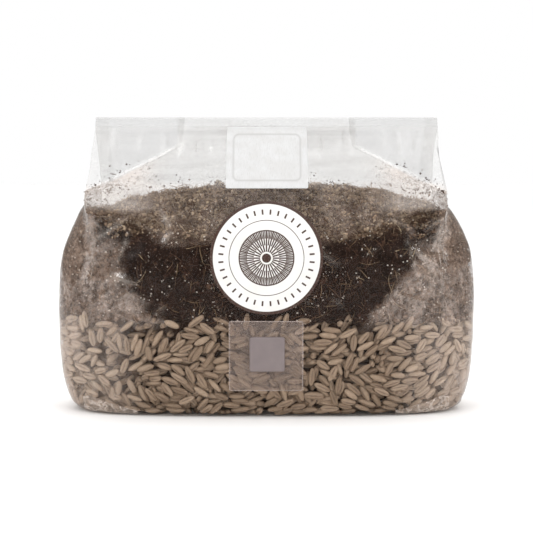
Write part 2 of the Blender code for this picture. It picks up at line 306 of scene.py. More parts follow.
# %% [markdown]
# ## Creases in the film
#
# Stiff clear film doesn't sag like cloth: it stays flat between sharp folds. Each fold is a short straight
# line on the flat tube, and the film stands up along it as a ridge that dies out at both ends. A crease is
# therefore kept as two points on the unrolled tube with a height and a width. Three rules lay them out,
# beside the larger folds in front: pleats that hang from the seal, fans that spread from the shoulders and
# the bottom corners, and stray folds.

# %% Creases
def crease(u, z, angle, length, height, width):
    """One fold: where its middle is on the unrolled tube, how it turns, and its size."""
    half = 0.5 * length
    return (
        u - half * math.cos(angle), z - half * math.sin(angle),
        u + half * math.cos(angle), z + half * math.sin(angle),
        height, width,
    )


# Folds that this bag has in front, in millimetres: from and to, across and up, then height and width.
FRONT_FOLDS = (
    (-53, 102, -48, 89, 0.95, 1.1), (-48, 90, -53, 83, 0.80, 1.0), (-84, 69, -64, 64, 0.48, 2.0),
    (-66, 62, -78, 55, 0.30, 1.4), (-90, 98, -91, 40, 0.35, 0.7), (-70, 92, -78, 70, 0.35, 1.2),
    (-88, 26, -72, 12, 0.35, 1.2), (-80, 52, -62, 44, 0.35, 1.0), (90, 98, 91, 40, 0.40, 0.7),
    (74, 82, 90, 72, 0.50, 1.6), (72, 88, 78, 66, 0.40, 1.2), (62, 60, 84, 54, 0.35, 1.0),
    (58, 96, 76, 90, 0.35, 1.0), (84, 34, 70, 16, 0.35, 1.3), (73, 8, 80, 2, 0.40, 1.0),
    (-45, 133, -44, 118, 0.45, 1.0), (-29, 132, -26, 120, 0.50, 1.1), (43, 137, 44, 122, 0.45, 1.0),
    (38, 134, 35, 124, 0.40, 1.0), (-20, 99, -8, 103, 0.30, 1.2), (28, 97, 36, 101, 0.30, 1.2),
)
TUBE_PER_WIDTH = 0.95
SEAL_PLEATS = 9
SHOULDER_FAN = 8
CORNER_FAN = 10
STRAY_FOLDS = 110
CREASE_SEED = 4


print("folds placed by hand:", len(FRONT_FOLDS))


# %% Lay out the creases
def lay_out_creases(tube):
    """The folds in front, then each half's pleats and fans, then the stray folds."""
    draw = np.random.default_rng(CREASE_SEED)
    made = []
    for x0, z0, x1, z1, height, width in FRONT_FOLDS:
        places = np.array((x0 * TUBE_PER_WIDTH, z0, x1 * TUBE_PER_WIDTH, z1, height, width))
        made.append(tuple(places * mm))
    for middle in (0.0, tube / 2):
        for side in (-1, 1):
            for k in range(SEAL_PLEATS):
                u = middle + side * draw.uniform(18 * mm, TOP_HALF_WIDTH - 4 * mm)
                lean = math.pi / 2 + side * draw.uniform(-0.28, 0.12)
                z = 137 * mm - draw.uniform(0.0, 9.0) * mm
                length = draw.uniform(8, 24) * mm
                made.append(crease(u, z, lean, length, draw.uniform(0.2, 0.5) * mm, 1.3 * mm))
            for k in range(SHOULDER_FAN):
                turn = draw.uniform(-2.5, -0.7)
                angle = turn if side < 0 else math.pi - turn
                reach = draw.uniform(10, 22) * mm
                u = middle + side * CREASE_HALF_WIDTH + 0.62 * reach * math.cos(angle)
                z = 98 * mm + 0.62 * reach * math.sin(angle)
                made.append(crease(u, z, angle, reach, draw.uniform(-0.35, 0.4) * mm, 1.9 * mm))
            for k in range(CORNER_FAN):
                angle = draw.uniform(0.35, 1.5) if side < 0 else math.pi - draw.uniform(0.35, 1.5)
                u = middle + side * draw.uniform(62, 118) * mm
                z = draw.uniform(2, 18) * mm
                length = draw.uniform(10, 26) * mm
                made.append(crease(u, z, angle, length, draw.uniform(-0.4, 0.6) * mm, 1.4 * mm))
    for k in range(STRAY_FOLDS):
        z = draw.uniform(6, 124)
        height = draw.uniform(-0.30, 0.45) * (0.45 if z < 50 or z > 98 else 1.0)
        made.append(crease(
            draw.uniform(0.0, tube), z * mm, draw.uniform(0.2, 2.9),
            draw.uniform(8, 34) * mm, height * mm, draw.uniform(1.2, 2.4) * mm,
        ))
    return made


def short_way(offset, around):
    """An offset round a tube, taken the shorter way."""
    return (offset + around / 2) % around - around / 2


def crease_height(u, z, creases, tube):
    """How far all creases together lift the film at points u, z of the unrolled tube, and how sharp it is."""
    lift = np.zeros_like(u)
    sharp = np.zeros_like(u)
    for u0, z0, u1, z1, height, width in creases:
        du, dz = u1 - u0, z1 - z0
        length = math.hypot(du, dz)
        off = short_way(u - 0.5 * (u0 + u1), tube)
        rise = z - 0.5 * (z0 + z1)
        along = (off * du + rise * dz) / length
        across = np.abs(off * dz - rise * du) / length
        taper = np.clip(1.0 - (2.0 * along / length) ** 2, 0.0, 1.0)
        ridge = taper * np.exp(-across / (width * (0.4 + 0.6 * taper)))
        lift += height * ridge
        line = abs(height) / (0.6 * mm) * taper * np.exp(-across / (0.45 * width))
        sharp = np.maximum(sharp, line)
    return lift, sharp


# %% [markdown]
# ## The film
#
# The film is one closed skin: a ring of points at every millimetre or so of height, joined by four-sided
# faces. At the top the last ring is pressed flat onto one line and its front and back points are merged,
# which closes the bag just as the heat seal does. The wrinkles then move each point square to the skin. They
# fade out under the label, the filter and the port, because those stick the film flat.

# %% Film mesh
def flat_spots():
    """Middle and half size, across and up, of what keeps the front film flat."""
    spots = []
    for node in ("filter_patch", "round_label", "port_film"):
        low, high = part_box(node)
        spots.append((
            0.5 * (low.x + high.x), 0.5 * (low.z + high.z),
            0.5 * (high.x - low.x), 0.5 * (high.z - low.z),
        ))
    return spots


def ring_heights():
    rises = np.concatenate((
        np.array((0.0, 0.2, 0.5, 0.9, 1.4, 2.0, 2.7, 3.5)),
        np.arange(4.4, 139.6, 0.85),
        np.array((139.8, 140.4, 141.2, 142.0, 142.8, 143.4, 144.0)),
    ))
    return rises * mm * BAG_HEIGHT / (144.0 * mm)


def tube_places():
    """Where each point of a ring lies on the flat tube, the same at any height, and the way round it."""
    quarter = np.concatenate((
        np.linspace(0.0, TOP_HALF_WIDTH, FRONT_STEPS + 1),
        TOP_HALF_WIDTH + np.linspace(0.0, CORNER_SHARE * GUSSET, FOLD_STEPS + 1)[1:],
        TOP_HALF_WIDTH + np.linspace(CORNER_SHARE * GUSSET, GUSSET, SIDE_STEPS + 1)[1:],
    ))
    tube = 4.0 * quarter[-1]
    right = np.concatenate((quarter, tube / 2 - quarter[-2::-1]))
    return np.concatenate((right, tube - right[-2:0:-1])), tube


# %% Mesh helpers
def loft(rings, cap_bottom=True):
    """Faces between rings of the same count, and a fan of rings that closes the lowest one."""
    around = len(rings[0])
    points = np.vstack(rings)
    faces = []
    for r in range(len(rings) - 1):
        for k in range(around):
            n = (k + 1) % around
            faces.append((r * around + k, r * around + n, (r + 1) * around + n, (r + 1) * around + k))
    if cap_bottom:
        middle = len(points)
        points = np.vstack((points, [rings[0].mean(axis=0)]))
        faces += [((k + 1) % around, k, middle) for k in range(around)]
    return points, faces


def mesh_object(name, points, faces):
    mesh = bpy.data.meshes.new(name)
    mesh.from_pydata([tuple(p) for p in points], [], faces)
    mesh.validate()
    mesh.shade_smooth()
    return put_in_scene(bpy.data.objects.new(name, mesh))


def vectors_of(items, name):
    flat = np.empty(3 * len(items), np.float32)
    items.foreach_get(name, flat)
    return flat.reshape(-1, 3).astype(float)


def set_points(mesh, points):
    mesh.vertices.foreach_set("co", points.astype(np.float32).ravel())
    mesh.update()


def set_attribute(mesh, name, values):
    made = mesh.attributes.new(name, "FLOAT", "POINT")
    made.data.foreach_set("value", values.astype(np.float32))


def merge_close(mesh, distance):
    bm = bmesh.new()
    bm.from_mesh(mesh)
    bmesh.ops.remove_doubles(bm, verts=bm.verts, dist=distance)
    bm.to_mesh(mesh)
    bm.free()


def field(points, size, octaves=3, seed=0.0):
    """Smooth fractal noise, about -1 to 1, at each point."""
    shift = Vector((seed, 1.7 * seed, 0.3 * seed))
    return np.array([
        noise.fractal(Vector(p) / size + shift, 1.0, 2.0, octaves, noise_basis="PERLIN_ORIGINAL")
        for p in points
    ])


# %% Make the film
def make_film_mesh():
    heights = ring_heights()
    rings = []
    for z in heights:
        ring = section(z)
        rings.append(np.column_stack((ring, np.full(len(ring), z))))
    rings[-1][:, 1] = 0.0
    bottom = [rings[0] * [s, s, 1.0] for s in (0.15, 0.4, 0.65, 0.85, 0.95)]
    points, faces = loft(bottom + rings)
    film = mesh_object("grow_bag_film", points, faces)
    places, tube = tube_places()
    rows = len(bottom) + len(rings)
    u = np.concatenate((np.tile(places, rows), [0.0]))
    z = points[:, 2]
    lift, sharp = crease_height(u, z, lay_out_creases(tube), tube)
    front = points[:, 1] < 0.0
    free = np.ones(len(points))
    for x0, z0, half_x, half_z in flat_spots():
        out = np.maximum(np.abs(points[:, 0] - x0) - half_x, np.abs(z - z0) - half_z)
        free = np.where(front, np.minimum(free, smooth_step(-2 * mm, 4 * mm, out)), free)
    # Wrinkles need room: none at all where front and back meet in the seal, or the bag would not close.
    depth = np.array([outline_at(h)[2] for h in z])
    room = smooth_step(0.3 * mm, 14 * mm, depth)
    standing = smooth_step(0.0, 2.5 * mm, z)
    broad = field(points, 34 * mm, 2, seed=3.1) * 1.2 * mm * smooth_step(88 * mm, 112 * mm, z)
    broad += field(points, 26 * mm, 2, seed=8.4) * 0.5 * mm - 0.6 * mm
    small = field(points, 7 * mm, 2, seed=5.5) * 0.12 * mm
    # Above the shoulders the film is pulled nearly smooth, up to where the pleats of the seal begin.
    pulled = smooth_step(94 * mm, 99 * mm, z) * (1.0 - smooth_step(122 * mm, 128 * mm, z))
    calm = 1.0 - 0.85 * pulled
    move = (broad + calm * lift) * room * standing * (0.25 + 0.75 * free)
    move += calm * small * standing * free * room
    outwards = vectors_of(film.data.vertex_normals, "vector")
    set_points(film.data, points + move[:, None] * outwards)
    set_attribute(film.data, "fold", sharp * standing * calm)
    set_attribute(film.data, "tube", u)
    merge_close(film.data, 1e-6)
    film.data.set_sharp_from_angle(angle=math.radians(60))
    return film


film = make_film_mesh()
print("film faces", len(film.data.polygons))

# %% [markdown]
# ## A short way to write a finish
#
# Every finish below is a small graph of nodes: noise and attributes go in, a colour, a roughness and a bump
# come out. This helper keeps each one to a few readable lines. All patterns read object coordinates or
# attributes that the meshes carry, so they stay put when the bag is turned or exported.

# %% Finish helper
class Finish:
    """A material being built, with short names for the nodes that the finishes here share."""

    def __init__(self, name):
        self.made = bpy.data.materials.new(name)
        self.made.use_nodes = True
        self.nodes = self.made.node_tree.nodes
        self.links = self.made.node_tree.links
        self.shader = self.nodes["Principled BSDF"]
        self.output = self.nodes["Material Output"]
        self.place = self.node("ShaderNodeTexCoord").outputs["Object"]

    def node(self, kind, **settings):
        made = self.nodes.new(kind)
        for key, value in settings.items():
            setattr(made, key, value)
        return made

    def feed(self, socket, value):
        if isinstance(value, bpy.types.NodeSocket):
            self.links.new(value, socket)
        else:
            socket.default_value = value

    def math(self, operation, a, b=0.5, clamp=False):
        made = self.node("ShaderNodeMath", operation=operation, use_clamp=clamp)
        self.feed(made.inputs[0], a)
        self.feed(made.inputs[1], b)
        return made.outputs[0]

    def chain(self, operation, values, clamp=False):
        total = values[0]
        for value in values[1:]:
            total = self.math(operation, total, value, clamp)
        return total

    def times(self, *values):
        return self.chain("MULTIPLY", values)

    def plus(self, *values, clamp=False):
        return self.chain("ADD", values, clamp)

    def minus(self, a, b):
        return self.math("SUBTRACT", a, b)

    def size_of(self, value):
        return self.math("ABSOLUTE", value)

    def edge_on(self, power, share):
        """0 where the surface faces the eye, rising to the share where it is seen edge-on."""
        weight = self.node("ShaderNodeLayerWeight")
        return self.times(self.math("POWER", weight.outputs["Facing"], power), share)

    def spread(self, value, low, high, to_low=0.0, to_high=1.0, smooth=False):
        made = self.node("ShaderNodeMapRange", interpolation_type="SMOOTHSTEP" if smooth else "LINEAR")
        for name, amount in (("From Min", low), ("From Max", high), ("To Min", to_low), ("To Max", to_high)):
            made.inputs[name].default_value = amount
        self.feed(made.inputs["Value"], value)
        return made.outputs["Result"]

    def moved(self, centre=(0.0, 0.0, 0.0), scale=(1.0, 1.0, 1.0)):
        made = self.node("ShaderNodeMapping", vector_type="TEXTURE")
        made.inputs["Location"].default_value = centre
        made.inputs["Scale"].default_value = scale
        self.links.new(self.place, made.inputs["Vector"])
        return made.outputs["Vector"]

    def axes(self, place=None):
        made = self.node("ShaderNodeSeparateXYZ")
        self.links.new(place or self.place, made.inputs[0])
        return made.outputs

    def noise(self, size, detail=3.0, place=None, rough=0.5):
        made = self.node("ShaderNodeTexNoise")
        self.links.new(place or self.place, made.inputs["Vector"])
        made.inputs["Scale"].default_value = 1.0 / size
        made.inputs["Detail"].default_value = detail
        made.inputs["Roughness"].default_value = rough
        return made.outputs["Fac"]

    def cells(self, size):
        made = self.node("ShaderNodeTexVoronoi")
        self.links.new(self.place, made.inputs["Vector"])
        made.inputs["Scale"].default_value = 1.0 / size
        return made.outputs["Distance"]

    def carried(self, name):
        return self.node("ShaderNodeAttribute", attribute_name=name).outputs["Fac"]

    def mix(self, share, a, b):
        made = self.node("ShaderNodeMix", data_type="RGBA")
        self.feed(made.inputs[0], share)
        self.feed(made.inputs[6], a)
        self.feed(made.inputs[7], b)
        return made.outputs[2]

    def bump(self, height, depth, strength=1.0):
        made = self.node("ShaderNodeBump")
        made.inputs["Distance"].default_value = depth
        made.inputs["Strength"].default_value = strength
        self.links.new(height, made.inputs["Height"])
        self.links.new(made.outputs["Normal"], self.shader.inputs["Normal"])

    def set(self, **values):
        for name, value in values.items():
            self.feed(self.shader.inputs[name.replace("_", " ")], value)

    def see_through(self, share, passes):
        """Clear where share is 0 and the shader's own finish where it is 1. A clear sheet lets passes by."""
        clear = self.node("ShaderNodeBsdfTransparent")
        clear.inputs["Color"].default_value = (passes, passes, passes, 1.0)
        both = self.node("ShaderNodeMixShader")
        self.links.new(share, both.inputs[0])
        self.links.new(clear.outputs[0], both.inputs[1])
        self.links.new(self.shader.outputs[0], both.inputs[2])
        self.links.new(both.outputs[0], self.output.inputs["Surface"])


# %% Screen colours
def rgb(red, green, blue):
    """A screen colour, 0 to 255, as the linear colour that a shader takes."""
    linear = [
        v / 255 / 12.92 if v <= 10 else ((v / 255 + 0.055) / 1.055) ** 2.4
        for v in (red, green, blue)
    ]
    return (*linear, 1.0)


print("a middle grey as a shader takes it:", [round(v, 3) for v in rgb(128, 128, 128)])


# %% [markdown]
# ## Clear film
#
# Film this thin doesn't bend light, so it needs no glass: it is a mix of nothing and a glossy plastic. The
# share of plastic grows where the film is seen edge-on, where it is folded, in the welded seal, and where it
# is misted by the moist filling. Some of it is painted light: a painted highlight on the folds and along the
# folded corners, and a painted reflection of the side lights towards the sides. Fine dust from the filling
# tints it beige below the folded corners.

# %% Mist inside the film, and painted reflection at its sides
FILM_PASSES = 0.975
HEADER_FROM_Z = 108 * mm
HEADER_FULL_Z = 114 * mm
SEAL_Z = 139.6 * mm
SEAL_LINES_APART = 4.0 * mm
SIDE_REACH_BASE_Z = 93 * mm
SIDE_REACH_SLOPE = 0.66
LEFT_SHIFT = -3.5 * mm
WANDER = 11 * mm

# The folded corner's lower edge falls outwards in a straight line: its height in the middle, in millimetres,
# and how much it falls for each millimetre outwards.
FOLD_LINE_TOP = 152.3
FOLD_LINE_FALL = 0.52


def side_reach(f, x, z, wander):
    """How near the bag's side a place counts as: its distance from the middle, and more the lower it is."""
    low = f.times(f.minus(SIDE_REACH_BASE_Z, z), SIDE_REACH_SLOPE)
    shift = f.spread(x, -20 * mm, 20 * mm, LEFT_SHIFT, 0.0)
    return f.plus(f.size_of(x), low, shift, wander)


def film_mist_and_side_reflection(f, x, z, wander):
    """Painted side-light reflection, nearer the middle lower down, and mist over the slope of the heap."""
    across = f.size_of(x)
    streak = f.noise(1.0, 4.0, f.moved(scale=(10 * mm, 10 * mm, 22 * mm)), 0.6)
    mottle = f.noise(2.2 * mm, 4.0, rough=0.65)
    # Painted reflection of the side lights: over the substrate near the sides, and over the grain.
    soil_side_reflection = f.times(
        f.spread(side_reach(f, x, z, wander), 74 * mm, 84 * mm, 0.0, 0.19, smooth=True),
        f.spread(mottle, 0.38, 0.64, 0.45, 1.75),
    )
    grain_side_reflection = f.spread(f.plus(across, wander), 58 * mm, 100 * mm, 0.0, 0.30)
    over_grain = f.spread(z, 40 * mm, 50 * mm, smooth=True)
    lower_side_reflection = f.plus(
        f.times(soil_side_reflection, over_grain),
        f.times(grain_side_reflection, f.minus(1.0, over_grain)),
    )
    left_line = f.spread(x, -61 * mm, -51 * mm, 93.5 * mm, 82.5 * mm, smooth=True)
    right_line = f.spread(x, 26 * mm, 84 * mm, 0.0, 19 * mm)
    rise = f.plus(f.minus(z, f.plus(left_line, right_line)), f.times(wander, 0.25))
    slope_mist = f.times(
        f.spread(rise, -1.2 * mm, 1.8 * mm, 0.0, 0.085, smooth=True),
        f.spread(mottle, 0.38, 0.64, 0.5, 1.6),
    )
    return f.times(
        f.math("MAXIMUM", lower_side_reflection, slope_mist),
        f.spread(streak, 0.34, 0.66, 0.5, 1.32, smooth=True),
        f.spread(z, HEADER_FROM_Z, HEADER_FULL_Z, 1.0, 0.0, smooth=True),
    )


# %% Header and seal
def film_veil(f, across, z, tube_share, fold_line, header):
    """The free film of the header is a little grey where its two sheets stand apart."""
    free = f.times(header, f.spread(z, SEAL_Z - 0.2 * mm, SEAL_Z + 0.2 * mm, 1.0, 0.35))
    panel = f.spread(tube_share, 84 * mm, 86 * mm, 1.0, 0.6)
    level_streak = f.noise(1.0, 3.0, f.moved(scale=(30 * mm, 30 * mm, 5 * mm)), 0.5)
    veil = f.times(free, panel, f.spread(level_streak, 0.3, 0.7, 0.22, 0.42))
    edge = f.times(f.spread(across, 77.5 * mm, 79 * mm), f.spread(tube_share, 84 * mm, 86 * mm))
    outer = f.times(
        f.spread(fold_line, 0.0, 1.5 * mm),
        f.spread(across, 43 * mm, 45 * mm),
        f.minus(1.0, edge),
    )
    return f.times(veil, f.spread(outer, 0.0, 1.0, 1.0, 0.26))


def film_seal(f, z):
    """The weld, with a line along both of its edges."""
    seal = f.spread(z, SEAL_Z, SEAL_Z + 0.3 * mm, 0.0, 0.02)
    for line in (SEAL_Z, SEAL_Z + SEAL_LINES_APART):
        off = f.size_of(f.minus(z, line))
        seal = f.plus(seal, f.spread(off, 0.15 * mm, 0.45 * mm, 0.06, 0.0))
    return seal


# %% The whole finish of the film
def film_finish(tube):
    f = Finish("clear_film")
    x, y, z = f.axes()
    across = f.size_of(x)
    tube_share = f.math("PINGPONG", f.carried("tube"), tube / 4)
    cloud = f.noise(16 * mm, 4.0)
    fine = f.noise(1.4 * mm, 4.0, rough=0.7)
    wander = f.spread(cloud, 0.2, 0.8, -WANDER, WANDER)
    fold_line = f.minus(f.plus(z, f.times(across, FOLD_LINE_FALL)), FOLD_LINE_TOP * mm)
    header = f.spread(z, HEADER_FROM_Z, HEADER_FULL_Z, smooth=True)
    mist_and_side_reflection = film_mist_and_side_reflection(f, x, z, wander)
    veil = film_veil(f, across, z, tube_share, fold_line, header)

    # A painted highlight along the folded corner's lower edge, in front, and dust that clings under it.
    bright = f.times(
        f.spread(f.size_of(fold_line), 0.2 * mm, 1.6 * mm, 0.17, 0.0, smooth=True),
        f.spread(across, 43 * mm, 47 * mm),
        f.spread(y, -1 * mm, 0.0, 1.0, 0.0),
        f.spread(f.noise(5 * mm), 0.35, 0.6, 0.35, 1.0),
    )
    dust = f.times(
        f.spread(fold_line, -1.5 * mm, 0.0, 1.0, 0.0),
        f.spread(across, 46 * mm, 66 * mm, smooth=True),
        f.spread(z, 97 * mm, 101 * mm, smooth=True),
        f.spread(cloud, 0.3, 0.65, 0.7, 1.0),
    )
    # Whiter along the folds: partly the film's own fold whitening, partly a painted highlight of the creases.
    folds = f.times(
        f.carried("fold"),
        f.spread(z, 46 * mm, 70 * mm, 0.10, 0.30),
        f.spread(dust, 0.0, 0.5, 1.0, 0.3),
    )
    # White share: folds and their painted highlight, the seal's lines, the painted highlight by the fold
    # line.
    white = f.plus(folds, film_seal(f, z), bright)
    haze = f.plus(f.plus(mist_and_side_reflection, veil), f.plus(white, f.times(dust, 0.26)))
    haze = f.plus(f.times(haze, f.spread(fine, 0.3, 0.7, 0.72, 1.28)), 0.004)
    share = f.plus(haze, f.plus(f.edge_on(4.0, 0.80), 0.022), clamp=True)
    # The tone of the mist, of the painted side reflection and of the header's grey.
    damp_and_reflection_tone = f.mix(header, rgb(206, 177, 157), rgb(190, 187, 183))
    fold_tone = f.mix(header, rgb(238, 222, 206), rgb(244, 243, 241))
    dusty_tone = f.mix(dust, damp_and_reflection_tone, rgb(205, 190, 178))
    milk = f.mix(f.math("DIVIDE", white, haze), dusty_tone, fold_tone)
    f.set(
        Base_Color=f.mix(f.math("MAXIMUM", f.math("DIVIDE", haze, share), 0.4), rgb(0, 0, 0), milk),
        Roughness=f.spread(cloud, 0.3, 0.7, 0.10, 0.20),
        IOR=3.0,
    )
    f.see_through(share, FILM_PASSES)
    return f.made


film.data.materials.append(film_finish(tube_places()[1]))
print("film finish", len(film.data.materials[0].node_tree.nodes), "nodes")

# %% [markdown]
# ## Geometry Nodes for what repeats
#
# The filling is thousands of grains, crumbs and fibres. Geometry Nodes copy a few shapes onto points, then
# turn and size each copy. The helpers start a tree with named inputs, end it with real mesh and a finish, run
# it on an object, and keep the result as a plain mesh, because copies that stay instances would be lost in an
# export.

# %% Geometry Nodes helpers
def start_tree(name, inputs):
    tree = bpy.data.node_groups.new(name, "GeometryNodeTree")
    tree.interface.new_socket("Geometry", in_out="INPUT", socket_type="NodeSocketGeometry")
    for label, kind in inputs.items():
        tree.interface.new_socket(label, in_out="INPUT", socket_type="NodeSocket" + kind)
    tree.interface.new_socket("Geometry", in_out="OUTPUT", socket_type="NodeSocketGeometry")
    return tree


def add_node(tree, kind, settings=(), *first, **named):
    """A node with its settings. Its inputs, plain values or links, come in order or by name."""
    made = tree.nodes.new(kind)
    for key, value in dict(settings).items():
        setattr(made, key, value)
    given = list(zip(made.inputs, first))
    for label, value in named.items():
        socket = next(s for s in made.inputs if s.name == label.replace("_", " ") and s.enabled)
        given.append((socket, value))
    for socket, value in given:
        if isinstance(value, bpy.types.NodeSocket):
            tree.links.new(value, socket)
        else:
            socket.default_value = value
    return made


def calculate(tree, operation, *values):
    return add_node(tree, "ShaderNodeMath", {"operation": operation}, *values).outputs[0]


def along_normals(tree, normal, amount):
    move = add_node(tree, "ShaderNodeVectorMath", {"operation": "SCALE"}, normal)
    tree.links.new(amount, move.inputs["Scale"])
    return move.outputs[0]


def random_number(tree, seed, **limits):
    return add_node(tree, "FunctionNodeRandomValue", {"data_type": "FLOAT"}, Seed=seed, **limits).outputs[1]


def with_tone(tree, copies, seed):
    """Gives each copy a random number of its own, which its finish reads as its tone."""
    stored = add_node(
        tree, "GeometryNodeStoreNamedAttribute", {"data_type": "FLOAT", "domain": "INSTANCE"},
        Geometry=copies.outputs["Instances"], Name="tone", Value=random_number(tree, seed),
    )
    return stored.outputs["Geometry"]


def end_tree(tree, given, geometry):
    """Turns copies into real mesh, puts the finish on and hands the result out."""
    real = add_node(tree, "GeometryNodeRealizeInstances", Geometry=geometry)
    dressed = add_node(
        tree, "GeometryNodeSetMaterial", Geometry=real.outputs["Geometry"], Material=given.outputs["Finish"]
    )
    add_node(tree, "NodeGroupOutput", Geometry=dressed.outputs["Geometry"])
    return tree


# %% Run a tree
def run_tree(obj, tree, values):
    """The mesh that the tree makes of the object. The object itself is left without the tree."""
    modifier = obj.modifiers.new(tree.name, "NODES")
    modifier.node_group = tree
    for item in tree.interface.items_tree:
        if item.item_type == "SOCKET" and item.in_out == "INPUT" and item.name in values:
            modifier[item.identifier] = values[item.name]
    graph = bpy.context.evaluated_depsgraph_get()
    mesh = bpy.data.meshes.new_from_object(
        obj.evaluated_get(graph), preserve_all_data_layers=True, depsgraph=graph
    )
    obj.modifiers.remove(modifier)
    return mesh


def keep_piece(name, mesh, finish):
    mesh.name = name
    mesh.materials.clear()
    mesh.materials.append(finish)
    mesh.shade_smooth()
    print(name, sum(len(p.vertices) - 2 for p in mesh.polygons), "triangles")
    return put_in_scene(bpy.data.objects.new(name, mesh))


def drop(obj):
    bpy.data.objects.remove(obj, do_unlink=True)


# %% [markdown]
# ## One grain
#
# A cereal grain is a spindle with blunt points and a groove along one side. It is turned by a rule: rings of
# points whose radius follows a power curve, closed with a point at each end. More points stand beside the
# groove than elsewhere, so that it shows although the grain has only a few dozen faces.

# %% Grain shape
GRAIN_TURNS = np.radians((0, 14, 34, 75, 120, 180, 240, 285, 326, 346))
GRAIN_STATIONS = np.array((-0.93, -0.70, -0.25, 0.25, 0.70, 0.93))
TIP_POWER = 2.2
BLUNTNESS = 0.58
GROOVE_WIDTH = 0.22
GROOVE_DEPTH = 0.30


def make_grain(name):
    points = [(-1.0, 0.0, 0.0)]
    groove = [0.0]
    for x in GRAIN_STATIONS:
        radius = (1.0 - abs(x) ** TIP_POWER) ** BLUNTNESS
        for turn in GRAIN_TURNS:
            depth = math.exp(-(min(turn, math.tau - turn) / GROOVE_WIDTH) ** 2)
            r = radius * (1.0 - GROOVE_DEPTH * depth)
            points.append((x, r * math.sin(turn), 0.9 * r * math.cos(turn)))
            groove.append(depth * (1.0 - x * x))
    points.append((1.0, 0.0, 0.0))
    groove.append(0.0)
    count = len(GRAIN_TURNS)
    faces = []
    for k in range(count):
        n = (k + 1) % count
        faces.append((0, 1 + k, 1 + n))
        faces.append((len(points) - 1, len(points) - 1 - count + n, len(points) - 1 - count + k))
        for s in range(len(GRAIN_STATIONS) - 1):
            a = 1 + s * count
            faces.append((a + n, a + k, a + count + k, a + count + n))
    grain = mesh_object(name, points, faces)
    set_attribute(grain.data, "groove", np.array(groove))
    set_attribute(grain.data, "tip", np.abs(np.array(points)[:, 0]))
    return grain


# %% [markdown]
# ## Packing the grain
#
# Grain poured into a bag lies flat against the film, side by side, with hardly a gap. Scattering at random
# would leave holes and collisions, so the grains are packed first on the unrolled wall. Each is three balls
# in a row. Balls that overlap push each other apart and turn their grains, and after some rounds nearly all
# have room.

# %% Pack the grain
FACES_OUT = 0.5 * math.pi
PACK_DEPTH = 2.0 * mm
GRAIN_HALF_LENGTH = 4.45 * mm
GRAIN_HALF_WIDTH = 1.70 * mm
WALL_LENGTH = 512 * mm
PACK_ROUNDS = 110

# A ball's width as a share of a grain's half width: a little under 2, so that grains may press together.
BALL_SIZE = 1.86


def pack_grains(width, low, high, count, seed):
    """Places, headings and sizes of grains that fill a strip which closes on itself across its width.

    A place is across, up and deep: a grain that finds no room at the film slips a little behind the others.
    """
    draw = np.random.default_rng(seed)
    across = draw.uniform(0, width, count)
    up = draw.uniform(low, high, count)
    middle = np.column_stack((across, up, draw.uniform(0, PACK_DEPTH, count)))
    flat_places = middle * (1.0, 1.0, 0.0)
    heading = 2.2 * field(flat_places, 24 * mm, 1, seed) + draw.normal(0.0, 0.4, count)
    size = draw.uniform(0.84, 1.12, count)
    upright = (field(flat_places, 17 * mm, 1, seed + 3.3) > 0.42) | (draw.random(count) < 0.03)
    reach = np.where(upright, 0.05, 0.68) * GRAIN_HALF_LENGTH * size
    thick = GRAIN_HALF_WIDTH * BALL_SIZE * draw.uniform(0.92, 1.05, count)
    for step in range(PACK_ROUNDS):
        along = np.column_stack((np.cos(heading), np.sin(heading), np.zeros(count)))
        if step % 6 == 0:
            gap = middle[:, None, :2] - middle[None, :, :2]
            gap[:, :, 0] = short_way(gap[:, :, 0], width)
            near = np.hypot(gap[:, :, 0], gap[:, :, 1]) < 2.6 * GRAIN_HALF_LENGTH
            first, second = np.nonzero(np.triu(near, 1))
        push = np.zeros_like(middle)
        twist = np.zeros(count)
        for p in (-1.0, 0.0, 1.0):
            for q in (-1.0, 0.0, 1.0):
                arm_a = p * reach[first, None] * along[first]
                arm_b = q * reach[second, None] * along[second]
                apart = middle[first] + arm_a - middle[second] - arm_b
                apart[:, 0] = short_way(apart[:, 0], width)
                distance = np.maximum(np.linalg.norm(apart, axis=1), 1e-7)
                overlap = np.clip(0.5 * (thick[first] + thick[second]) - distance, 0.0, None)
                force = 0.20 * (overlap / distance)[:, None] * apart
                np.add.at(push, first, force)
                np.add.at(push, second, -force)
                np.add.at(twist, first, arm_a[:, 0] * force[:, 1] - arm_a[:, 1] * force[:, 0])
                np.add.at(twist, second, -(arm_b[:, 0] * force[:, 1] - arm_b[:, 1] * force[:, 0]))
        middle += push
        middle[:, 2] -= 0.02 * mm
        heading += 1.6 * twist / (GRAIN_HALF_LENGTH ** 2)
        middle[:, 0] %= width
        middle[:, 1] = np.clip(middle[:, 1], low, high)
        middle[:, 2] = np.clip(middle[:, 2], 0.0, PACK_DEPTH)
    return middle, heading, size, upright, thick / (BALL_SIZE * GRAIN_HALF_WIDTH)


# %% Places on the wall
def squared_off(wave):
    return np.sign(wave) * np.abs(wave) ** (2.0 / BODY_POWER)


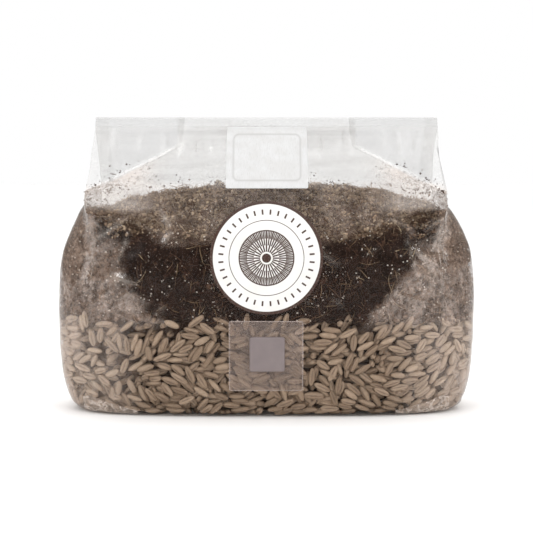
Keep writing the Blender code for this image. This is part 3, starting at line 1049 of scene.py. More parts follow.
def wall_place(share, rise, inset):
    """Places on the wall, from their share of the way round, their rise and how far in they lie.

    The rise is measured along the film from the bottom's rim: below zero it runs in across the bottom.
    """
    angle = np.linspace(0.0, math.tau, 721)
    turns = squared_off(np.sin(angle))
    fronts = -squared_off(np.cos(angle))
    length = np.concatenate(([0.0], np.cumsum(np.hypot(np.diff(0.1 * turns), np.diff(0.044 * fronts)))))
    at = np.interp(share % 1.0 * length[-1], length, angle)
    heights = np.linspace(0.0, 60 * mm, 241)
    half = np.array([outline_at(z)[:2] for z in heights])
    climb = np.concatenate(([0.0], np.cumsum(np.hypot(np.diff(heights), np.diff(half[:, 1])))))
    z = np.interp(rise, climb, heights)
    half_x = np.interp(z, heights, half[:, 0]) - inset + np.minimum(rise, 0.0)
    half_y = np.interp(z, heights, half[:, 1]) - inset + np.minimum(rise, 0.0)
    x = half_x * squared_off(np.sin(at))
    y = -half_y * squared_off(np.cos(at))
    return np.column_stack((x, y, z + inset * np.exp(-z / (9 * mm))))


def unit(vectors):
    return vectors / np.maximum(np.linalg.norm(vectors, axis=1), 1e-12)[:, None]


def cloud_of(name, places, axis, facing, scale):
    """A mesh of loose points, each with a direction, a side that faces out and a size along three axes."""
    cloud = bpy.data.meshes.new(name)
    cloud.from_pydata([tuple(p) for p in places], [], [])
    for label, values in (("axis", axis), ("facing", facing), ("size", scale)):
        made = cloud.attributes.new(label, "FLOAT_VECTOR", "POINT")
        made.data.foreach_set("vector", values.astype(np.float32).ravel())
    return put_in_scene(bpy.data.objects.new(name, cloud))


def grain_cloud(name, count, inset, seed, low, high):
    """Points on the wall that carry what Geometry Nodes need to set a grain on each."""
    middle, heading, size, upright, plump = pack_grains(WALL_LENGTH, low, high, count, seed)
    share, rise = middle[:, 0] / WALL_LENGTH, middle[:, 1]
    draw = np.random.default_rng(seed + 50)
    depth = inset + middle[:, 2] + np.where(upright, 0.6 * GRAIN_HALF_LENGTH, 0.0)
    step = 0.3 * mm
    turn = step / WALL_LENGTH
    here = wall_place(share, rise, depth)
    round_bag = unit(wall_place(share + turn, rise, depth) - wall_place(share - turn, rise, depth))
    up = unit(wall_place(share, rise + step, depth) - wall_place(share, rise - step, depth))
    inward = unit(np.cross(up, round_bag))
    lean = np.where(upright, draw.uniform(1.1, 1.5, count), draw.normal(0.0, 0.13, count))
    flat = np.cos(heading)[:, None] * round_bag + np.sin(heading)[:, None] * up
    axis = unit(np.cos(lean)[:, None] * flat + np.sin(lean)[:, None] * inward)
    roll = np.where(
        draw.random(count) < 0.62,
        draw.normal(FACES_OUT, 0.5, count),
        draw.uniform(0, math.tau, count),
    )
    other = unit(np.cross(axis, inward + 0.01))
    facing = np.cos(roll)[:, None] * other + np.sin(roll)[:, None] * np.cross(axis, other)
    scale = np.column_stack((GRAIN_HALF_LENGTH * size, GRAIN_HALF_WIDTH * plump, GRAIN_HALF_WIDTH * plump))
    return cloud_of(name, here, axis, facing, scale)


# %% Set the grains
def grain_tree():
    """Sets a grain on each point, turned and sized by what the point carries, with a tone of its own."""
    tree = start_tree("set_grains", {"Grain": "Object", "Finish": "Material", "Seed": "Int"})
    given = tree.nodes.new("NodeGroupInput")
    shape = add_node(tree, "GeometryNodeObjectInfo", Object=given.outputs["Grain"])
    carried = []
    for name in ("axis", "facing", "size"):
        read = add_node(tree, "GeometryNodeInputNamedAttribute", {"data_type": "FLOAT_VECTOR"}, Name=name)
        carried.append(read.outputs["Attribute"])
    axis, facing, size = carried
    turn = add_node(
        tree, "FunctionNodeAxesToRotation", {"primary_axis": "X", "secondary_axis": "Z"}, axis, facing
    )
    set_down = add_node(
        tree, "GeometryNodeInstanceOnPoints",
        Points=given.outputs["Geometry"], Instance=shape.outputs["Geometry"],
        Rotation=turn.outputs[0], Scale=size,
    )
    return end_tree(tree, given, with_tone(tree, set_down, given.outputs["Seed"]))


# %% Grain finish
def grain_finish():
    f = Finish("cereal_grain")
    tone = f.carried("tone")
    husk = f.mix(tone, rgb(171, 148, 126), rgb(134, 113, 93))
    patchy = f.spread(f.noise(2.2 * mm, 3.0), 0.35, 0.7, 0.0, 0.35)
    colour = f.mix(patchy, husk, rgb(112, 91, 72))
    # Painted reflection of the side lights: grains paler towards the bag's sides.
    side_reflection_on_husk = f.spread(f.size_of(f.axes()["X"]), 55 * mm, 100 * mm, 0.0, 0.45)
    colour = f.mix(side_reflection_on_husk, colour, rgb(226, 208, 190))
    # Painted shade: darker in the groove and at the tips.
    groove_painted_shade = f.times(f.carried("groove"), 0.8)
    tips_painted_shade = f.spread(f.carried("tip"), 0.78, 1.0, 0.0, 0.55)
    shaded = f.math("MAXIMUM", groove_painted_shade, tips_painted_shade)
    f.set(
        Base_Color=f.mix(shaded, colour, rgb(78, 57, 43)),
        Roughness=f.spread(tone, 0, 1, 0.45, 0.62),
        Specular_IOR_Level=0.25,
    )
    f.bump(f.noise(0.5 * mm, 4.0, rough=0.7), 0.08 * mm, 0.6)
    return f.made


grain_shape = make_grain("one_grain")
grains_tree = grain_tree()
husk = grain_finish()
grain_pieces = []
for name, count, inset, seed, low, high in (
    ("grain_against_film", 1320, 1.95 * mm, 11, -14 * mm, 50.5 * mm),
    ("grain_behind", 1020, 4.8 * mm, 12, -10 * mm, 50 * mm),
):
    cloud = grain_cloud(name + "_points", count, inset, seed, low, high)
    mesh = run_tree(cloud, grains_tree, {"Grain": grain_shape, "Finish": husk, "Seed": seed})
    grain_pieces.append(keep_piece(name, mesh, husk))
    drop(cloud)
drop(grain_shape)

# %% [markdown]
# ## The heart of the grain
#
# Two layers of grains are enough to look real, but here and there one can see between them. Behind them
# stands one plain dark body, lofted from the same sections set further in, so that no gap shows daylight.
# Its dark colour is painted shade, standing for the grain deep in the bag.

# %% Grain core
CORE_INSET = 8.0 * mm
CORE_FROM_Z = 5 * mm
CORE_TO_Z = 51 * mm


def core_finish():
    f = Finish("grain_in_shade")
    cells = f.cells(5.5 * mm)
    # Painted shade: the grain deep in the bag, dark brown with darker patches.
    shade = f.mix(f.spread(cells, 0.15, 0.6), rgb(122, 98, 78), rgb(62, 44, 34))
    f.set(
        Base_Color=f.mix(f.spread(f.noise(3 * mm), 0.4, 0.7, 0.0, 0.5), shade, rgb(52, 37, 29)),
        Roughness=f.spread(cells, 0.1, 0.6, 0.75, 0.95),
        Specular_IOR_Level=0.1,
    )
    f.bump(cells, 1.5 * mm)
    return f.made


def make_core():
    heights = np.linspace(CORE_FROM_Z, CORE_TO_Z, 24)
    rings = [np.column_stack((inset_ring(section(z), CORE_INSET), np.full(AROUND, z))) for z in heights]
    rings = [rings[0] * [s, s, 1.0] for s in (0.2, 0.6, 0.9)] + rings
    rings += [rings[-1] * [s, s, 1.0] + [0.0, 0.0, 0.5 * mm] for s in (0.9, 0.5, 0.0)]
    points, faces = loft(rings)
    core = mesh_object("grain_core", points, faces)
    merge_close(core.data, 1e-6)
    core.data.materials.append(core_finish())
    return core


grain_core = make_core()
print("grain core faces", len(grain_core.data.polygons))

# %% [markdown]
# ## The substrate
#
# The dark layer is moist coir and peat, pressed against the film below and heaped in the header above. Its
# body is lofted like the bag: up the film to the line where it leaves it, then over the heap to a ridge
# along the middle, where front and back are merged. Geometry Nodes then break the smooth body up into lumps.

# %% Substrate body
GRAIN_TOP_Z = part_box("substrate_bed")[0].z
CREST_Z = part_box("substrate_bed")[1].z
LEAVES_FILM_Z = 82.0 * mm
CORNER_RISE = 13.0 * mm
LEAVES_SIDE_Z = 97.0 * mm
END_DROP = 13.5 * mm
HEAP_HALF_WIDTH = 86.0 * mm
WALL_CLEARANCE = 1.5 * mm
WALL_LEVELS = 42
HEAP_LEVELS = 40

# The noise level that leaves the surface where it is: a little over half, so that lumps sink more than rise.
LUMP_LEVEL = 0.55


def make_substrate_body():
    heights = np.linspace(GRAIN_TOP_Z, 104 * mm, 60)
    rings = np.array([inset_ring(section(z), WALL_CLEARANCE) for z in heights])
    width = np.abs(rings[35][:, 0]) / HEAP_HALF_WIDTH
    leaves = np.minimum(LEAVES_FILM_Z + CORNER_RISE * np.minimum(width, 1.25) ** 3, LEAVES_SIDE_Z)
    rows = []
    for t in np.linspace(0.0, 1.0, WALL_LEVELS):
        z = GRAIN_TOP_Z + t * (leaves - GRAIN_TOP_Z)
        x = np.array([np.interp(z[k], heights, rings[:, k, 0]) for k in range(AROUND)])
        y = np.array([np.interp(z[k], heights, rings[:, k, 1]) for k in range(AROUND)])
        rows.append(np.column_stack((x, y, z)))
    floor = [rows[0] * [1.0 - 0.1 * v, 1.0 - v, 1.0] for v in (1.0, 0.7, 0.4, 0.2, 0.08)]
    rim = rows[-1]
    for v in np.linspace(0.0, 1.0, HEAP_LEVELS + 1)[1:]:
        x = rim[:, 0] * (1.0 - 0.14 * v)
        bend = np.where(x < 0.0, 2.5, 3.5)
        crest = CREST_Z - END_DROP * np.minimum(np.abs(x) / HEAP_HALF_WIDTH, 1.05) ** bend
        z = rim[:, 2] + (crest - rim[:, 2]) * (1.0 - (1.0 - v) ** 1.8)
        rows.append(np.column_stack((x, rim[:, 1] * (1.0 - v), z)))
    points, faces = loft(floor + rows, cap_bottom=False)
    body = mesh_object("substrate_body", points, faces)
    above = points[:, 2] - np.tile(leaves, len(points) // AROUND)
    set_attribute(body.data, "heap", smooth_step(0.0, 6 * mm, above))
    merge_close(body.data, 1e-6)
    return body


# %% Break the body up into lumps
def lumpy_tree():
    """Pushes a surface in and out along its normals by two sizes of noise."""
    inputs = {
        "Lump Size": "Float", "Lump Depth": "Float", "Crumb Size": "Float", "Crumb Depth": "Float",
        "Finish": "Material",
    }
    tree = start_tree("lumpy_surface", inputs)
    given = tree.nodes.new("NodeGroupInput")
    deep = []
    for label in ("Lump", "Crumb"):
        count = calculate(tree, "DIVIDE", 1.0, given.outputs[label + " Size"])
        pattern = add_node(tree, "ShaderNodeTexNoise", Scale=count, Detail=3.0, Roughness=0.6)
        centred = calculate(tree, "SUBTRACT", pattern.outputs[0], LUMP_LEVEL)
        deep.append(calculate(tree, "MULTIPLY", centred, given.outputs[label + " Depth"]))
    normal = tree.nodes.new("GeometryNodeInputNormal").outputs[0]
    move = along_normals(tree, normal, calculate(tree, "ADD", *deep))
    moved = add_node(tree, "GeometryNodeSetPosition", Geometry=given.outputs["Geometry"], Offset=move)
    return end_tree(tree, given, moved.outputs["Geometry"])


def painted_side_reflection(f, share):
    """Painted reflection of the side lights: paler towards the sides, and further in lower down."""
    x, _, z = f.axes()
    wander = f.spread(f.noise(16 * mm, 4.0), 0.2, 0.8, -WANDER, WANDER)
    side = f.spread(side_reach(f, x, z, wander), 73 * mm, 86 * mm, 0.0, share, smooth=True)
    reflection_blotches = f.plus(f.noise(2.6 * mm, 3.0, rough=0.65), f.times(f.noise(9 * mm), 0.6))
    return f.times(side, f.spread(reflection_blotches, 0.68, 0.94, 0.2, 2.3))


def soil_finish():
    f = Finish("dark_substrate")
    coarse = f.noise(6 * mm, 4.0)
    fine = f.noise(0.9 * mm, 4.0, rough=0.7)
    dark = f.mix(f.spread(coarse, 0.35, 0.68), rgb(21, 12, 9), rgb(40, 25, 19))
    # Painted reflection of the side lights: paler towards the sides.
    dark = f.mix(painted_side_reflection(f, 0.20), dark, rgb(150, 124, 106))
    dark = f.mix(f.carried("heap"), dark, rgb(78, 58, 45))
    f.set(
        Base_Color=f.mix(f.spread(fine, 0.5, 0.8), dark, rgb(78, 58, 47)),
        Roughness=f.spread(fine, 0.3, 0.7, 0.7, 0.95),
        Specular_IOR_Level=0.1,
    )
    f.bump(fine, 0.5 * mm)
    return f.made


soil_paint = soil_finish()
smooth_body = make_substrate_body()
mesh = run_tree(smooth_body, lumpy_tree(), {
    "Lump Size": 7 * mm, "Lump Depth": 13 * mm, "Crumb Size": 2.6 * mm, "Crumb Depth": 4.2 * mm,
    "Finish": soil_paint,
})
soil = keep_piece("substrate_mass", mesh, soil_paint)

# %% [markdown]
# ## Crumbs, fibres and perlite
#
# What makes the layer read as coir and peat is what stands out of it: crumbs, pale fibres from the coconut
# husk, and white perlite. Each kind is a handful of small shapes, and one tree scatters any kind over a
# surface, with its density, sizes, tilt and seed as inputs. Small copies are commoner than large ones.

# %% Small shapes
LUMP_HEIGHT = 0.8
FIBRE_RINGS = 3
FIBRE_RADIUS = 0.04


def lump(name, seed, rough=0.28):
    """A small irregular stone-like shape, about one unit in radius."""
    bm = bmesh.new()
    bmesh.ops.create_icosphere(bm, subdivisions=1, radius=1.0)
    draw = np.random.default_rng(seed)
    stretch = draw.uniform(0.7, 1.2, 3)
    for v in bm.verts:
        v.co *= 1.0 + draw.uniform(-rough, rough)
        v.co = Vector((v.co.x * stretch[0], v.co.y * stretch[1], v.co.z * stretch[2] * LUMP_HEIGHT))
    return object_from(bm, name)


def fibre(name, seed):
    """A bent three-sided thread, two units long, that tapers to both ends."""
    draw = np.random.default_rng(seed)
    bend, kink, lift = draw.uniform(-0.28, 0.28), draw.uniform(-0.15, 0.15), draw.uniform(0.03, 0.2)
    points = [(-1.0, bend, 0.0)]
    for s in np.linspace(-1.0, 1.0, FIBRE_RINGS + 2)[1:-1]:
        middle = np.array((s, bend * s * s + kink * math.sin(3.0 * s), lift * (1.0 - s * s)))
        r = FIBRE_RADIUS * (1.0 - 0.75 * s * s)
        for k in range(3):
            turn = math.tau * k / 3
            points.append(tuple(middle + (0.0, r * math.cos(turn), r * math.sin(turn))))
    points.append((1.0, bend + kink * math.sin(3.0), 0.0))
    last = len(points) - 1
    faces = []
    for k in range(3):
        n = (k + 1) % 3
        faces.append((0, 1 + n, 1 + k))
        faces.append((last, last - 3 + k, last - 3 + n))
        for s in range(FIBRE_RINGS - 1):
            a = 1 + 3 * s
            faces.append((a + k, a + n, a + 3 + n, a + 3 + k))
    mesh = bpy.data.meshes.new(name)
    mesh.from_pydata(points, [], faces)
    return bpy.data.objects.new(name, mesh)


# %% Scatter tree
def shape_set(name, shapes):
    group = bpy.data.collections.new(name)
    for shape in shapes:
        group.objects.link(shape)
    return group


CLUMPS_PER_METRE = 90.0

# Size goes by a random number raised to this power, which makes small copies commoner than large ones.
MOSTLY_SMALL = 2.2


def scatter_tree():
    """Copies of the shapes in a collection, scattered over a surface and turned into real mesh."""
    tree = start_tree("scatter", {
        "Shapes": "Collection", "Density": "Float", "Smallest": "Float", "Largest": "Float",
        "Tilt": "Float", "Lift": "Float", "Finish": "Material", "Seed": "Int",
    })
    given = tree.nodes.new("NodeGroupInput")
    seed = given.outputs["Seed"]

    # More copies in some patches than in others.
    patches = add_node(
        tree, "ShaderNodeTexNoise", {"noise_dimensions": "4D"}, W=seed, Scale=CLUMPS_PER_METRE, Detail=2.0
    )
    crowd = add_node(
        tree, "ShaderNodeMapRange",
        Value=patches.outputs[0], From_Min=0.38, From_Max=0.66, To_Min=0.2, To_Max=2.1,
    )
    spread = add_node(
        tree, "GeometryNodeDistributePointsOnFaces", Mesh=given.outputs["Geometry"],
        Density=calculate(tree, "MULTIPLY", given.outputs["Density"], crowd.outputs[0]), Seed=seed,
    )

    # Each copy leans by up to the tilt, either way, and is spun round at random.
    lean = calculate(tree, "MULTIPLY_ADD", random_number(tree, seed), 2.0, -1.0)
    tilt = calculate(tree, "MULTIPLY", lean, given.outputs["Tilt"])
    spin = random_number(tree, calculate(tree, "ADD", seed, 7.0), Max=math.tau)
    euler = add_node(tree, "ShaderNodeCombineXYZ", Y=tilt, Z=spin)
    turn = add_node(tree, "FunctionNodeEulerToRotation", (), euler.outputs[0])
    turned = add_node(
        tree, "FunctionNodeRotateRotation", {"rotation_space": "LOCAL"},
        spread.outputs["Rotation"], turn.outputs[0],
    )

    # Its size, and how far it stands off the surface.
    chance = random_number(tree, calculate(tree, "ADD", seed, 19.0))
    size = add_node(
        tree, "ShaderNodeMapRange", Value=calculate(tree, "POWER", chance, MOSTLY_SMALL),
        To_Min=given.outputs["Smallest"], To_Max=given.outputs["Largest"],
    )
    lifted = add_node(
        tree, "GeometryNodeSetPosition", Geometry=spread.outputs["Points"],
        Offset=along_normals(tree, spread.outputs["Normal"], given.outputs["Lift"]),
    )
    shapes = add_node(tree, "GeometryNodeCollectionInfo", Collection=given.outputs["Shapes"])
    shapes.inputs["Separate Children"].default_value = True
    shapes.inputs["Reset Children"].default_value = True
    copies = add_node(
        tree, "GeometryNodeInstanceOnPoints",
        Points=lifted.outputs["Geometry"], Instance=shapes.outputs[0], Rotation=turned.outputs[0],
        Scale=size.outputs["Result"],
    )
    copies.inputs["Pick Instance"].default_value = True
    return end_tree(tree, given, with_tone(tree, copies, calculate(tree, "ADD", seed, 31.0)))


def scatter(name, surface, shapes, finish, count, smallest, largest, tilt, lift, seed):
    area = sum(p.area for p in surface.data.polygons)
    mesh = run_tree(surface, spread_tree, {
        "Shapes": shapes, "Density": count / area, "Smallest": smallest, "Largest": largest,
        "Tilt": tilt, "Lift": lift, "Finish": finish, "Seed": seed,
    })
    return keep_piece(name, mesh, finish)


# %% Finishes of the small pieces
def toned_finish(name, stops, rough, grain_size, depth, side_reflection_share=0.34):
    """A finish whose colour steps with each copy's own tone, so that few shapes look like many."""
    f = Finish(name)
    tone = f.carried("tone")
    colour = None
    for share, shade in stops:
        colour = shade if colour is None else f.mix(f.spread(tone, share, share + 0.05), colour, shade)
    # On the heap the crumbs are paler, and paler still towards its top.
    heap_pale_tone = f.mix(f.spread(tone, 0.1, 0.9), rgb(118, 92, 72), rgb(236, 212, 180))
    colour = f.mix(f.times(f.carried("heap"), 0.5), colour, heap_pale_tone)
    toward_heap_top = f.spread(f.axes()["Z"], 102 * mm, 110 * mm, 0.0, 0.45)
    colour = f.mix(f.times(f.carried("heap"), toward_heap_top), colour, rgb(226, 202, 174))
    # Painted reflection of the side lights: paler towards the sides.
    colour = f.mix(painted_side_reflection(f, side_reflection_share), colour, rgb(178, 154, 136))
    patch = f.spread(f.noise(grain_size, 3.0), 0.35, 0.7, 0.0, 0.5)
    clod = f.spread(f.noise(5 * mm, 3.0), 0.44, 0.62, 0.0, 0.6, smooth=True)
    patch = f.math("MAXIMUM", patch, clod)
    f.set(Base_Color=f.mix(patch, colour, rgb(52, 36, 28)), Roughness=rough, Specular_IOR_Level=0.12)
    f.bump(f.noise(0.35 * mm, 3.0, rough=0.7), depth)
    return f.made


spread_tree = scatter_tree()
crumb_shapes = shape_set("crumb_shapes", [lump(f"crumb_{k}", 20 + k) for k in range(6)])
chip_shapes = shape_set("chip_shapes", [lump(f"chip_{k}", 40 + k, rough=0.3) for k in range(7)])
fibre_shapes = shape_set("fibre_shapes", [fibre(f"fibre_{k}", 60 + k) for k in range(8)])

crumb_paint = toned_finish("substrate_crumbs", (
    (0.0, rgb(23, 13, 10)), (0.45, rgb(38, 24, 18)),
    (0.78, rgb(66, 46, 37)), (0.95, rgb(104, 80, 62)),
), 0.9, 1.5 * mm, 0.3 * mm)
fibre_paint = toned_finish("coir_fibres", (
    (0.0, rgb(70, 48, 38)), (0.45, rgb(106, 80, 62)),
    (0.78, rgb(146, 120, 92)), (0.93, rgb(188, 164, 128)),
), 0.8, 4 * mm, 0.1 * mm)


def perlite_finish():
    f = Finish("perlite")
    shade = f.mix(f.carried("tone"), rgb(132, 114, 100), rgb(240, 232, 222))
    f.set(
        Base_Color=f.mix(f.spread(f.noise(0.8 * mm), 0.45, 0.75, 0.0, 0.6), shade, rgb(150, 132, 118)),
        Roughness=0.85,
        Specular_IOR_Level=0.2,
    )
    f.bump(f.cells(0.5 * mm), 0.25 * mm)
    return f.made


perlite_paint = perlite_finish()


# %% Scatter the small pieces
def part_of(body, name, kept):
    """The faces of the body that pass the test, as a surface to scatter on."""
    bm = bmesh.new()
    bm.from_mesh(body.data)
    others = [face for face in bm.faces if not kept(face.normal, face.calc_center_median())]
    bmesh.ops.delete(bm, geom=others, context="FACES")
    return put_in_scene(object_from(bm, name))


def in_crust(normal, at):
    """All but the underside, which lies on the grain."""
    return normal.z > -0.6 or at.z > GRAIN_TOP_Z + 4 * mm


def on_heap(normal, at):
    return normal.z > 0.2 and at.z > LEAVES_FILM_Z + 4 * mm


crust = part_of(soil, "substrate_crust", in_crust)
heap_top = part_of(soil, "substrate_top", on_heap)
heap_paint = toned_finish("heap_crumbs", (
    (0.0, rgb(104, 80, 62)), (0.35, rgb(158, 130, 106)),
    (0.72, rgb(200, 174, 146)), (0.95, rgb(232, 212, 184)),
), 0.9, 1.5 * mm, 0.3 * mm)

# Name, surface, shapes, finish, about how many, smallest, largest and lift in millimetres, tilt, seed.
SCATTERED = (
    ("substrate_crumbs", crust, crumb_shapes, crumb_paint, 7700, 0.42, 1.8, 0.2, 3.0, 101),
    ("heap_crumbs", heap_top, crumb_shapes, heap_paint, 6600, 0.30, 1.15, 0.4, 3.0, 106),
    ("heap_fibres", heap_top, fibre_shapes, fibre_paint, 6000, 1.0, 4.0, 0.7, 1.2, 108),
    ("coir_fibres", crust, fibre_shapes, fibre_paint, 7600, 1.2, 6.2, 0.35, 0.5, 102),
    ("perlite_specks", crust, chip_shapes, perlite_paint, 3900, 0.11, 0.54, 0.7, 3.0, 103),
)
soil_pieces = [soil]
for name, surface, shapes, finish, count, smallest, largest, lift, tilt, seed in SCATTERED:
    piece = scatter(
        name, surface, shapes, finish, count, smallest * mm, largest * mm, tilt, lift * mm, seed
    )
    soil_pieces.append(piece)
drop(crust)
drop(heap_top)
drop(smooth_body)

# %% [markdown]
# ## Kept inside the film
#
# In the bag the film presses the filling back wherever it would stick out. Here each point of the filling
# that reached past the film is put back just under it, which also flattens crumbs and grains against it.

# %% Press the filling back
SEARCH = 8 * mm
CLEARANCE = 0.12 * mm


def tree_of(obj):
    bm = bmesh.new()
    bm.from_mesh(obj.data)
    found = BVHTree.FromBMesh(bm)
    bm.free()
    return found


def press_inside(piece, skin):
    points = vectors_of(piece.data.vertices, "co")
    moved = 0
    for k, p in enumerate(points):
        near, normal = skin.find_nearest(Vector(p), SEARCH)[:2]
        if near is None:
            continue
        outside = (Vector(p) - near).dot(normal)
        if outside > -CLEARANCE:
            points[k] = near - normal * CLEARANCE
            moved += 1
    set_points(piece.data, points)
    print(piece.name, moved, "points pressed inside")


film_skin = tree_of(film)
for piece in grain_pieces + soil_pieces:
    press_inside(piece, film_skin)

# %% [markdown]
# ## Sheets stuck on the front
#
# The label, the filter, the port and the folded corners are thin sheets that follow the bag. Each starts as
# a grid in its own flat shape, such as a disc or a rounded rectangle. Every grid point is then carried back
# onto the film by a ray from the front, evened out a little because the sheet is stiffer than the film, and
# given a thickness.

# %% Draped sheets
def half_size(node):
    low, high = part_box(node)
    return 0.5 * (high - low)


def disc_shape(a, b):
    """Maps a square, -1 to 1 both ways, to a disc."""
    return a * math.sqrt(1.0 - 0.5 * b * b), b * math.sqrt(1.0 - 0.5 * a * a)


def rounded_shape(half_x, half_z, radius):
    """Maps a square to a rectangle whose corners are arcs of the radius."""
    def shape(a, b):
        x, z = a * half_x, b * half_z
        dx, dz = abs(x) - (half_x - radius), abs(z) - (half_z - radius)
        if dx > 0.0 and dz > 0.0:
            shrink = max(dx, dz) / math.hypot(dx, dz)
            x = math.copysign(half_x - radius + dx * shrink, x)
            z = math.copysign(half_z - radius + dz * shrink, z)
        return x / half_x, z / half_z
    return shape


def film_front(x, z):
    return film_skin.ray_cast(Vector((x, -1.0, z)), Vector((0.0, 1.0, 0.0)))[0].y


# How thick a sheet is at its very rim, as a share of its thickness.
RIM_SHARE = 0.45


def draped_sheet(name, low, high, shape, steps, thickness, gap, relief=None, even=6):
    middle = 0.5 * (low + high)
    half = 0.5 * (high - low)
    count = steps + 1
    flat = np.zeros((count, count, 2))
    for i, b in enumerate(np.linspace(-1.0, 1.0, count)):
        for j, a in enumerate(np.linspace(-1.0, 1.0, count)):
            flat[i, j] = shape(a, b)
    x = middle.x + half.x * flat[:, :, 0]
    z = middle.z + half.z * flat[:, :, 1]
    film_y = np.array([[film_front(x[i, j], z[i, j]) for j in range(count)] for i in range(count)])
    y = film_y.copy()
    for k in range(even):
        y[1:-1, 1:-1] = 0.25 * (y[:-2, 1:-1] + y[2:, 1:-1] + y[1:-1, :-2] + y[1:-1, 2:])
    y = np.minimum(y, film_y)
    rise = np.full((count, count), thickness)
    rise[[0, -1], :] *= RIM_SHARE
    rise[:, [0, -1]] *= RIM_SHARE
    if relief:
        rise += relief(x - middle.x, z - middle.z)
    front = np.stack((x, y - gap - rise, z), axis=-1).reshape(-1, 3)
    back = np.stack((x, y - gap, z), axis=-1).reshape(-1, 3)
    points = np.vstack((front, back))
    layer = count * count
    faces = []
    for i in range(steps):
        for j in range(steps):
            a = i * count + j
            faces.append((a, a + 1, a + count + 1, a + count))
            faces.append((a + layer, a + layer + count, a + layer + count + 1, a + layer + 1))
    rim = list(range(steps))
    rim += [i * count + steps for i in range(steps)]
    rim += [steps * count + steps - j for j in range(steps)]
    rim += [(steps - i) * count for i in range(steps)]
    for k, a in enumerate(rim):
        n = rim[(k + 1) % len(rim)]
        faces.append((a + layer, n + layer, n, a))
    sheet = mesh_object(name, points, faces)
    sheet.data.set_sharp_from_angle(angle=math.radians(60))
    print(name, len(faces), "faces, middle", [round(v / mm, 1) for v in middle])
    return sheet, middle


# %% [markdown]
# ## The round label
#
# A satin sticker, off-white with a dark rim. The print is plain geometry, worked out from the distance and
# the direction from the middle: a thin ring, a border of short strokes, and in the middle the pattern that
# gills leave in a spore print, long and short lines that run outwards.

# %% Printed lines
def print_line(f, off, half):
    """1 within half a thickness of a line's middle, 0 elsewhere, with a soft printed edge."""
    return f.spread(off, half - 0.06 * mm, half + 0.06 * mm, 1.0, 0.0)


def print_ring(f, radius, at, half):
    return print_line(f, f.size_of(f.minus(radius, at)), half)


def print_band(f, value, low, high):
    soft = 0.08 * mm
    above = f.spread(value, low - soft, low + soft)
    return f.times(above, f.spread(value, high - soft, high + soft, 1.0, 0.0))


def print_spokes(f, radius, angle, count, turn, half, low, high):
    """Strokes that run outwards from the middle, evenly spaced, between two radii."""
    apart = f.math("PINGPONG", f.plus(angle, turn + math.tau), math.pi / count)
    stroke = print_line(f, f.times(apart, radius), half)
    return f.times(stroke, print_band(f, radius, low, high))


# %% Label finish and label
def label_finish(middle, radius):
    f = Finish("printed_label")
    x, _, z = f.axes(f.moved((middle.x, 0.0, middle.z)))
    angle = f.math("ARCTAN2", z, x)
    flat = f.node("ShaderNodeCombineXYZ")
    f.links.new(x, flat.inputs["X"])
    f.links.new(z, flat.inputs["Z"])
    reach = f.node("ShaderNodeVectorMath", operation="LENGTH")
    f.links.new(flat.outputs[0], reach.inputs[0])
    r = reach.outputs["Value"]
    marks = (
        f.spread(r, radius - 1.5 * mm, radius - 1.38 * mm),
        print_ring(f, r, 17.7 * mm, 0.17 * mm),
        print_ring(f, r, 12.9 * mm, 0.30 * mm),
        f.spread(r, 2.1 * mm, 2.25 * mm, 1.0, 0.0),
        print_spokes(f, r, angle, 24, 0.0, 0.34 * mm, 3.0 * mm, 12.9 * mm),
        print_spokes(f, r, angle, 24, math.pi / 24, 0.30 * mm, 6.0 * mm, 12.9 * mm),
        print_spokes(f, r, angle, 48, math.pi / 48, 0.24 * mm, 9.2 * mm, 12.9 * mm),
        print_spokes(f, r, angle, 36, math.pi / 36, 0.42 * mm, 20.4 * mm, 22.8 * mm),
    )
    ink = marks[0]
    for mark in marks[1:]:
        ink = f.math("MAXIMUM", ink, mark)
    worn = f.spread(f.noise(0.45 * mm, 3.0), 0.25, 0.5, 0.86, 1.0)
    paper = f.mix(f.spread(f.noise(9 * mm), 0.35, 0.65), rgb(229, 228, 225), rgb(223, 221, 217))
    f.set(
        Base_Color=f.mix(f.times(ink, worn), paper, rgb(62, 40, 31)),
        Roughness=f.spread(ink, 0.0, 1.0, 0.42, 0.34),
        Specular_IOR_Level=0.25,
    )
    f.bump(f.noise(0.7 * mm, 3.0), 0.03 * mm, 0.5)
    return f.made


label, label_middle = draped_sheet(
    "round_sticker", *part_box("round_label"), disc_shape, 88, thickness=0.14 * mm, gap=0.04 * mm
)
label.data.materials.append(label_finish(label_middle, half_size("round_label").x))

# %% [markdown]
# ## The filter patch
#
# A white non-woven square lets the bag breathe and keeps spores out. It is welded flat round its edge, and a
# rounded weld line a few millimetres in leaves the middle puffed like a small pillow.

# %% Filter patch
WELD_INSET_X = 3.5 * mm
WELD_INSET_Z = 3.7 * mm
WELD_RADIUS = 2.6 * mm


def weld_distance(x, z, half_x, half_z):
    """Distance from the rounded weld line: below zero inside it."""
    dx = np.abs(x) - (half_x - WELD_INSET_X - WELD_RADIUS)
    dz = np.abs(z) - (half_z - WELD_INSET_Z - WELD_RADIUS)
    outside = np.hypot(np.maximum(dx, 0.0), np.maximum(dz, 0.0))
    return outside + np.minimum(np.maximum(dx, dz), 0.0) - WELD_RADIUS


def filter_relief(x, z):
    half_x, half_z = 0.5 * np.ptp(x), 0.5 * np.ptp(z)
    off = weld_distance(x, z, half_x, half_z)
    pillow = 0.75 * mm * smooth_step(0.3 * mm, 4.5 * mm, -off)
    margin = 0.22 * mm * smooth_step(0.4 * mm, 1.6 * mm, off)
    groove = -0.26 * mm * np.exp(-(off / (0.38 * mm)) ** 2)
    return pillow + margin + groove


